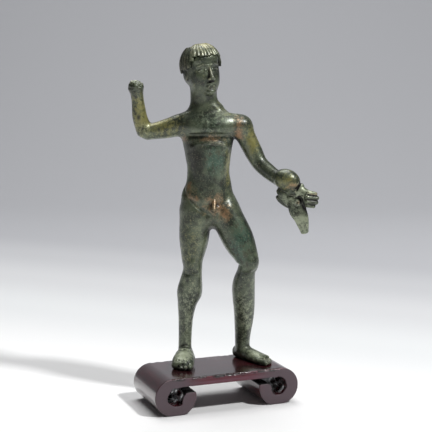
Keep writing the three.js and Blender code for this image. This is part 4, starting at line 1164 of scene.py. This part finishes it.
def makeStand():
    outline = scrollOutline()
    ends = np.roll(outline, -1, axis=0)
    steps = ends - outline
    keep = (steps**2).sum(1) > 1e-8
    starts, ends, steps = (x[keep].astype(np.float32) for x in (outline, ends, steps))
    squares = (steps**2).sum(1)
    rng = np.random.default_rng(stand["chipSeed"])
    halfDepth = stand["depth"] / 2

    chips = []
    for n in range(stand["chips"]):
        x = rng.uniform(-21, 21)
        front = -halfDepth if rng.random() < 0.8 else halfDepth
        long, deep = rng.uniform(0.3, 2.2), rng.uniform(0.08, 0.3)
        spot = (x, front + math.copysign(rng.uniform(0, 0.4), -front), stand["height"] - rng.uniform(0, 0.5))
        chips.append(stroke([spot, (x + long, spot[1], spot[2])], rng.uniform(0.2, 0.4), -deep))

    def field(p, box):
        flat = p[:, [0, 2]]
        along = (flat @ steps.T - (starts * steps).sum(1)) / squares
        share = np.clip(along, 0, 1)
        away = (flat**2).sum(1)[:, None] - 2 * flat @ starts.T + (starts**2).sum(1)
        off = np.sqrt(np.maximum((away + squares * share * (share - 2 * along)).min(1), 0))
        # inside or outside, from how often a line to the right crosses the outline
        above = (starts[:, 1] > flat[:, 1:]) != (ends[:, 1] > flat[:, 1:])
        rise = np.where(steps[:, 1] == 0, 1, steps[:, 1])
        crossing = starts[:, 0] + (flat[:, 1:] - starts[:, 1]) * steps[:, 0] / rise
        inside = (above & (flat[:, :1] < crossing)).sum(1) % 2 == 1
        d2 = np.where(inside, -off, off)
        eye = np.hypot(np.abs(p[:, 0]) - stand["eyeX"], p[:, 2] - stand["eyeZ"]) - stand["eyeRadius"]
        hollow = 1 - smoothstep(0.3, 1.4, np.abs(eye))
        gouges = noise(p * vec(1, 0.45, 1), 1.3) - 0.5
        d2 = d2 + stand["gouge"] * hollow * gouges * 2
        dy = np.abs(p[:, 1]) - halfDepth
        edge = stand["edge"]
        corner = np.hypot(np.maximum(d2 + edge, 0), np.maximum(dy + edge, 0)) - edge
        d = np.where(np.maximum(d2, dy) < -edge, np.maximum(d2, dy), corner)
        for chip in chips:
            if boxGap(*box, chip["low"], chip["high"]) <= 0:
                d = d - chip["bump"](p)
        return d

    low = vec(-29, -14.2, -1)
    high = vec(29, 14.2, 14.4)
    values = fillGrid(field, low, high, stand["cell"])
    vertices, quads = skin(values, low, stand["cell"])
    print("stand skin", len(vertices), len(quads))
    piece = thinOut(newObject("carved_stand", vertices, quads), stand["triangles"])
    points, normals = pointsOf(piece.data), normalsOf(piece.data)
    # the stand's hollow mask, for painted shade: the scroll eyes and the parts under the curls are painted
    # near-black
    setAttribute(piece.data, "hollow", shutIn(values, low, stand["cell"], points, normals, (0.8, 1.6, 3.0)))
    off = np.abs(points[:, 0])
    setAttribute(piece.data, "sawn", smoothstep(halfDepth - 0.3, halfDepth - 0.05, np.abs(points[:, 1])))
    # painted reflection: the sawn faces turn greyer towards the scroll ends and the bottom
    setAttribute(piece.data, "paintedSheen", smoothstep(8, 20, off + 0.6 * (stand["height"] - points[:, 2])))
    fromSide = halfDepth - np.abs(points[:, 1])
    fromTop = stand["height"] - points[:, 2]
    setAttribute(piece.data, "edge", smoothstep(0.9, 0.2, fromSide) * smoothstep(1.6, 0.4, fromTop))
    setPoints(piece.data, placeStand(points))
    piece.data.shade_smooth()
    print("stand thinned", len(piece.data.polygons))
    return piece


lacquer = {
    "dark": "241013",
    "red": "571c26",
    "mauve": "6a4450",
    "worn": "a07478",
    # the grey of the painted reflection on the sawn faces
    "paintedSheen": "57494f",
    # hollow: the near-black of the painted shade in the scroll eyes and under the curls
    "hollow": "050404",
    "fibre": 0.35,  # mm, the width of a streak of grain
    "streak": 9.0,  # mm, its length
}


# Hardwood, stained dark red-brown and lacquered: glossy and finely streaked, duller on its sawn faces;
# painted shade near-black in its hollows, and a painted reflection greying the sawn faces towards the scroll
# ends and the bottom
def lacqueredWood():
    material, tree, shader = newMaterial("lacquered_hardwood")
    colour = {name: linear(lacquer[name]) for name in lacquer if isinstance(lacquer[name], str)}
    where = addNode(tree, "ShaderNodeTexCoord").outputs["Object"]

    def painted(name):
        return addNode(tree, "ShaderNodeAttribute", attribute_name=name).outputs["Fac"]

    def maths(operation, *values):
        return addNode(tree, "ShaderNodeMath", dict(enumerate(values)), operation=operation).outputs[0]

    stretch = (lacquer["fibre"] / lacquer["streak"], 1.0, 1.0)
    along = addNode(tree, "ShaderNodeMapping", {"Vector": where, "Scale": stretch}).outputs[0]
    streaks = {"Vector": along, "Scale": 1 / (lacquer["fibre"] * 3 * mm), "Detail": 5, "Roughness": 0.65}
    grain = addNode(tree, "ShaderNodeTexNoise", streaks).outputs["Fac"]
    cloud = {"Vector": where, "Scale": 1 / (7 * mm), "Detail": 3}
    patch = addNode(tree, "ShaderNodeTexNoise", cloud).outputs["Fac"]
    crumbs = {"Vector": where, "Scale": 1 / (0.4 * mm), "Detail": 4}
    crumb = addNode(tree, "ShaderNodeTexNoise", crumbs).outputs["Fac"]

    base = overlay(tree, stepped(tree, grain, 0.4, 0.7), colour["dark"], colour["red"])
    base = overlay(tree, stepped(tree, patch, 0.5, 0.8), base, colour["dark"])
    sawn = painted("sawn")
    side = overlay(tree, stepped(tree, grain, 0.35, 0.7), colour["red"], colour["mauve"])
    # painted reflection: grey laid over the sawn faces towards the scroll ends and the bottom
    side = overlay(tree, painted("paintedSheen"), side, colour["paintedSheen"])
    base = overlay(tree, sawn, base, side)
    broken = stepped(tree, maths("MULTIPLY_ADD", crumb, 0.5, grain), 0.78, 0.95)
    wear = maths("MULTIPLY", painted("edge"), broken)
    base = overlay(tree, maths("MULTIPLY", wear, 0.35), base, colour["worn"])
    # painted shade: the shut-in parts are painted near-black
    shut = stepped(tree, painted("hollow"), 0.2, 0.34)
    base = overlay(tree, shut, base, colour["hollow"])
    tree.links.new(base, shader.inputs["Base Color"])
    dull = maths("MAXIMUM", maths("MAXIMUM", sawn, shut), wear)
    gloss = maths("MULTIPLY_ADD", dull, 0.38, maths("MULTIPLY_ADD", grain, 0.2, 0.12))
    tree.links.new(gloss, shader.inputs["Roughness"])
    tree.links.new(maths("MULTIPLY_ADD", dull, -0.9, 0.9), shader.inputs["Coat Weight"])
    shader.inputs["Coat Roughness"].default_value = 0.12
    bump = {"Height": maths("MULTIPLY_ADD", crumb, 0.3, grain), "Strength": 0.25, "Distance": 0.1 * mm}
    tree.links.new(addNode(tree, "ShaderNodeBump", bump).outputs[0], shader.inputs["Normal"])
    return material


standPiece = makeStand()
standPiece.data.materials.append(lacqueredWood())
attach(standPiece, "root")
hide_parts("scroll_stand")

# The view and the studio
bpy.context.scene.view_settings.view_transform = "Standard"
view = {
    "fromStand": vec(-142.12, -360.09, 115.76),  # mm, from the middle of the stand's footprint
    "yaw": math.radians(21.57),
    "pitch": math.radians(6.975),
    "lens": 1081.2 / 432 * 36,
}


def makeCamera():
    camera = bpy.data.cameras.new("camera")
    camera.lens = view["lens"]
    camera.sensor_width = 36
    camera.sensor_fit = "HORIZONTAL"
    camera.clip_start = 0.01
    holder = bpy.data.objects.new("camera", camera)
    bpy.context.collection.objects.link(holder)
    middle = placing["standMiddle"]
    holder.location = (view["fromStand"] + vec(middle[0], middle[1], 0)) * mm
    holder.rotation_euler = (math.pi / 2 - view["pitch"], 0, -view["yaw"])
    bpy.context.scene.camera = holder


makeCamera()

studio = {
    "room": 0.06,  # brightness of the room beyond the lamps
    "sweepStart": 0.6,  # m behind the object, where the ground starts to curve up
    "sweepRadius": 0.5,
    "sweepTop": 1.6,
    "sideShare": 0.5,  # how much sooner the ground darkens on the right
    "whiteTo": 0.02,  # m behind the object, up to which the paper is white
    # paper colours by depth: painted shade, darker away from the object where the lamps light it less
    "paperShadeTones": {0.02: "f8f8f8", 0.12: "e3e5e6", 0.2: "d5d6d8", 0.28: "c6c7ca", 0.36: "babbbf"},
}
lamps = {
    "key": {"place": (0.44, -0.62, 0.93), "size": 0.1, "power": 9.5},
    "top_softbox": {"place": (0.05, 0.3, 1.1), "size": 0.8, "power": 9.0},
}


def makeLamp(name, place, size, power):
    light = bpy.data.lights.new(name, "AREA")
    light.size = size
    light.energy = power
    holder = bpy.data.objects.new(name, light)
    bpy.context.collection.objects.link(holder)
    holder.location = place
    holder.rotation_euler = (Vector((0, 0, 0.06)) - Vector(place)).to_track_quat("-Z", "Y").to_euler()


for name, lamp in lamps.items():
    makeLamp(name, **lamp)


# Studio paper: white round the object, with painted shade making it greyer towards the wall, where the light
# falls off
def studioPaper():
    material, tree, shader = newMaterial("studio_paper")
    where = addNode(tree, "ShaderNodeTexCoord").outputs["Object"]
    c, s, side = math.cos(view["yaw"]), math.sin(view["yaw"]), studio["sideShare"]
    away = (s + side * c, c - side * s, 0)
    depth = addNode(tree, "ShaderNodeVectorMath", {0: where, 1: away}, operation="DOT_PRODUCT")
    ramp = addNode(tree, "ShaderNodeValToRGB", {"Fac": depth.outputs["Value"]})
    ramp.color_ramp.interpolation = "EASE"
    stops = ramp.color_ramp.elements
    stops.remove(stops[1])
    stops[0].position = studio["whiteTo"]
    stops[0].color = linear(studio["paperShadeTones"][studio["whiteTo"]])
    for place, tone in studio["paperShadeTones"].items():
        if place != studio["whiteTo"]:
            stops.new(place).color = linear(tone)
    tree.links.new(ramp.outputs[0], shader.inputs["Base Color"])
    shader.inputs["Roughness"].default_value = 0.9
    return material


# A pale floor that curves up behind the object
def makeSweep():
    start, radius, top = studio["sweepStart"], studio["sweepRadius"], studio["sweepTop"]
    a = np.linspace(0, math.pi / 2, 24)
    profile = [(-2.0, 0.0)] + [(start + radius * math.sin(x), radius * (1 - math.cos(x))) for x in a]
    profile = np.array(profile + [(start + radius, top)])
    c, s = math.cos(view["yaw"]), math.sin(view["yaw"])
    rows = []
    for side in (-2.0, 2.0):
        deep, high = profile.T
        rows.append(np.stack([side * c + deep * s, -side * s + deep * c, high], axis=1))
    count = len(profile)
    faces = np.array([(n, n + count, n + count + 1, n + 1) for n in range(count - 1)])
    sweep = newObject("studio_sweep", np.concatenate(rows), faces)
    sweep.data.shade_smooth()
    sweep.data.materials.append(studioPaper())


makeSweep()
room = bpy.data.worlds.new("studio")
room.use_nodes = True
room.node_tree.nodes["Background"].inputs["Strength"].default_value = studio["room"]
room.node_tree.nodes["Background"].inputs["Color"].default_value = (0.95, 0.97, 1.0, 1)
bpy.context.scene.world = room
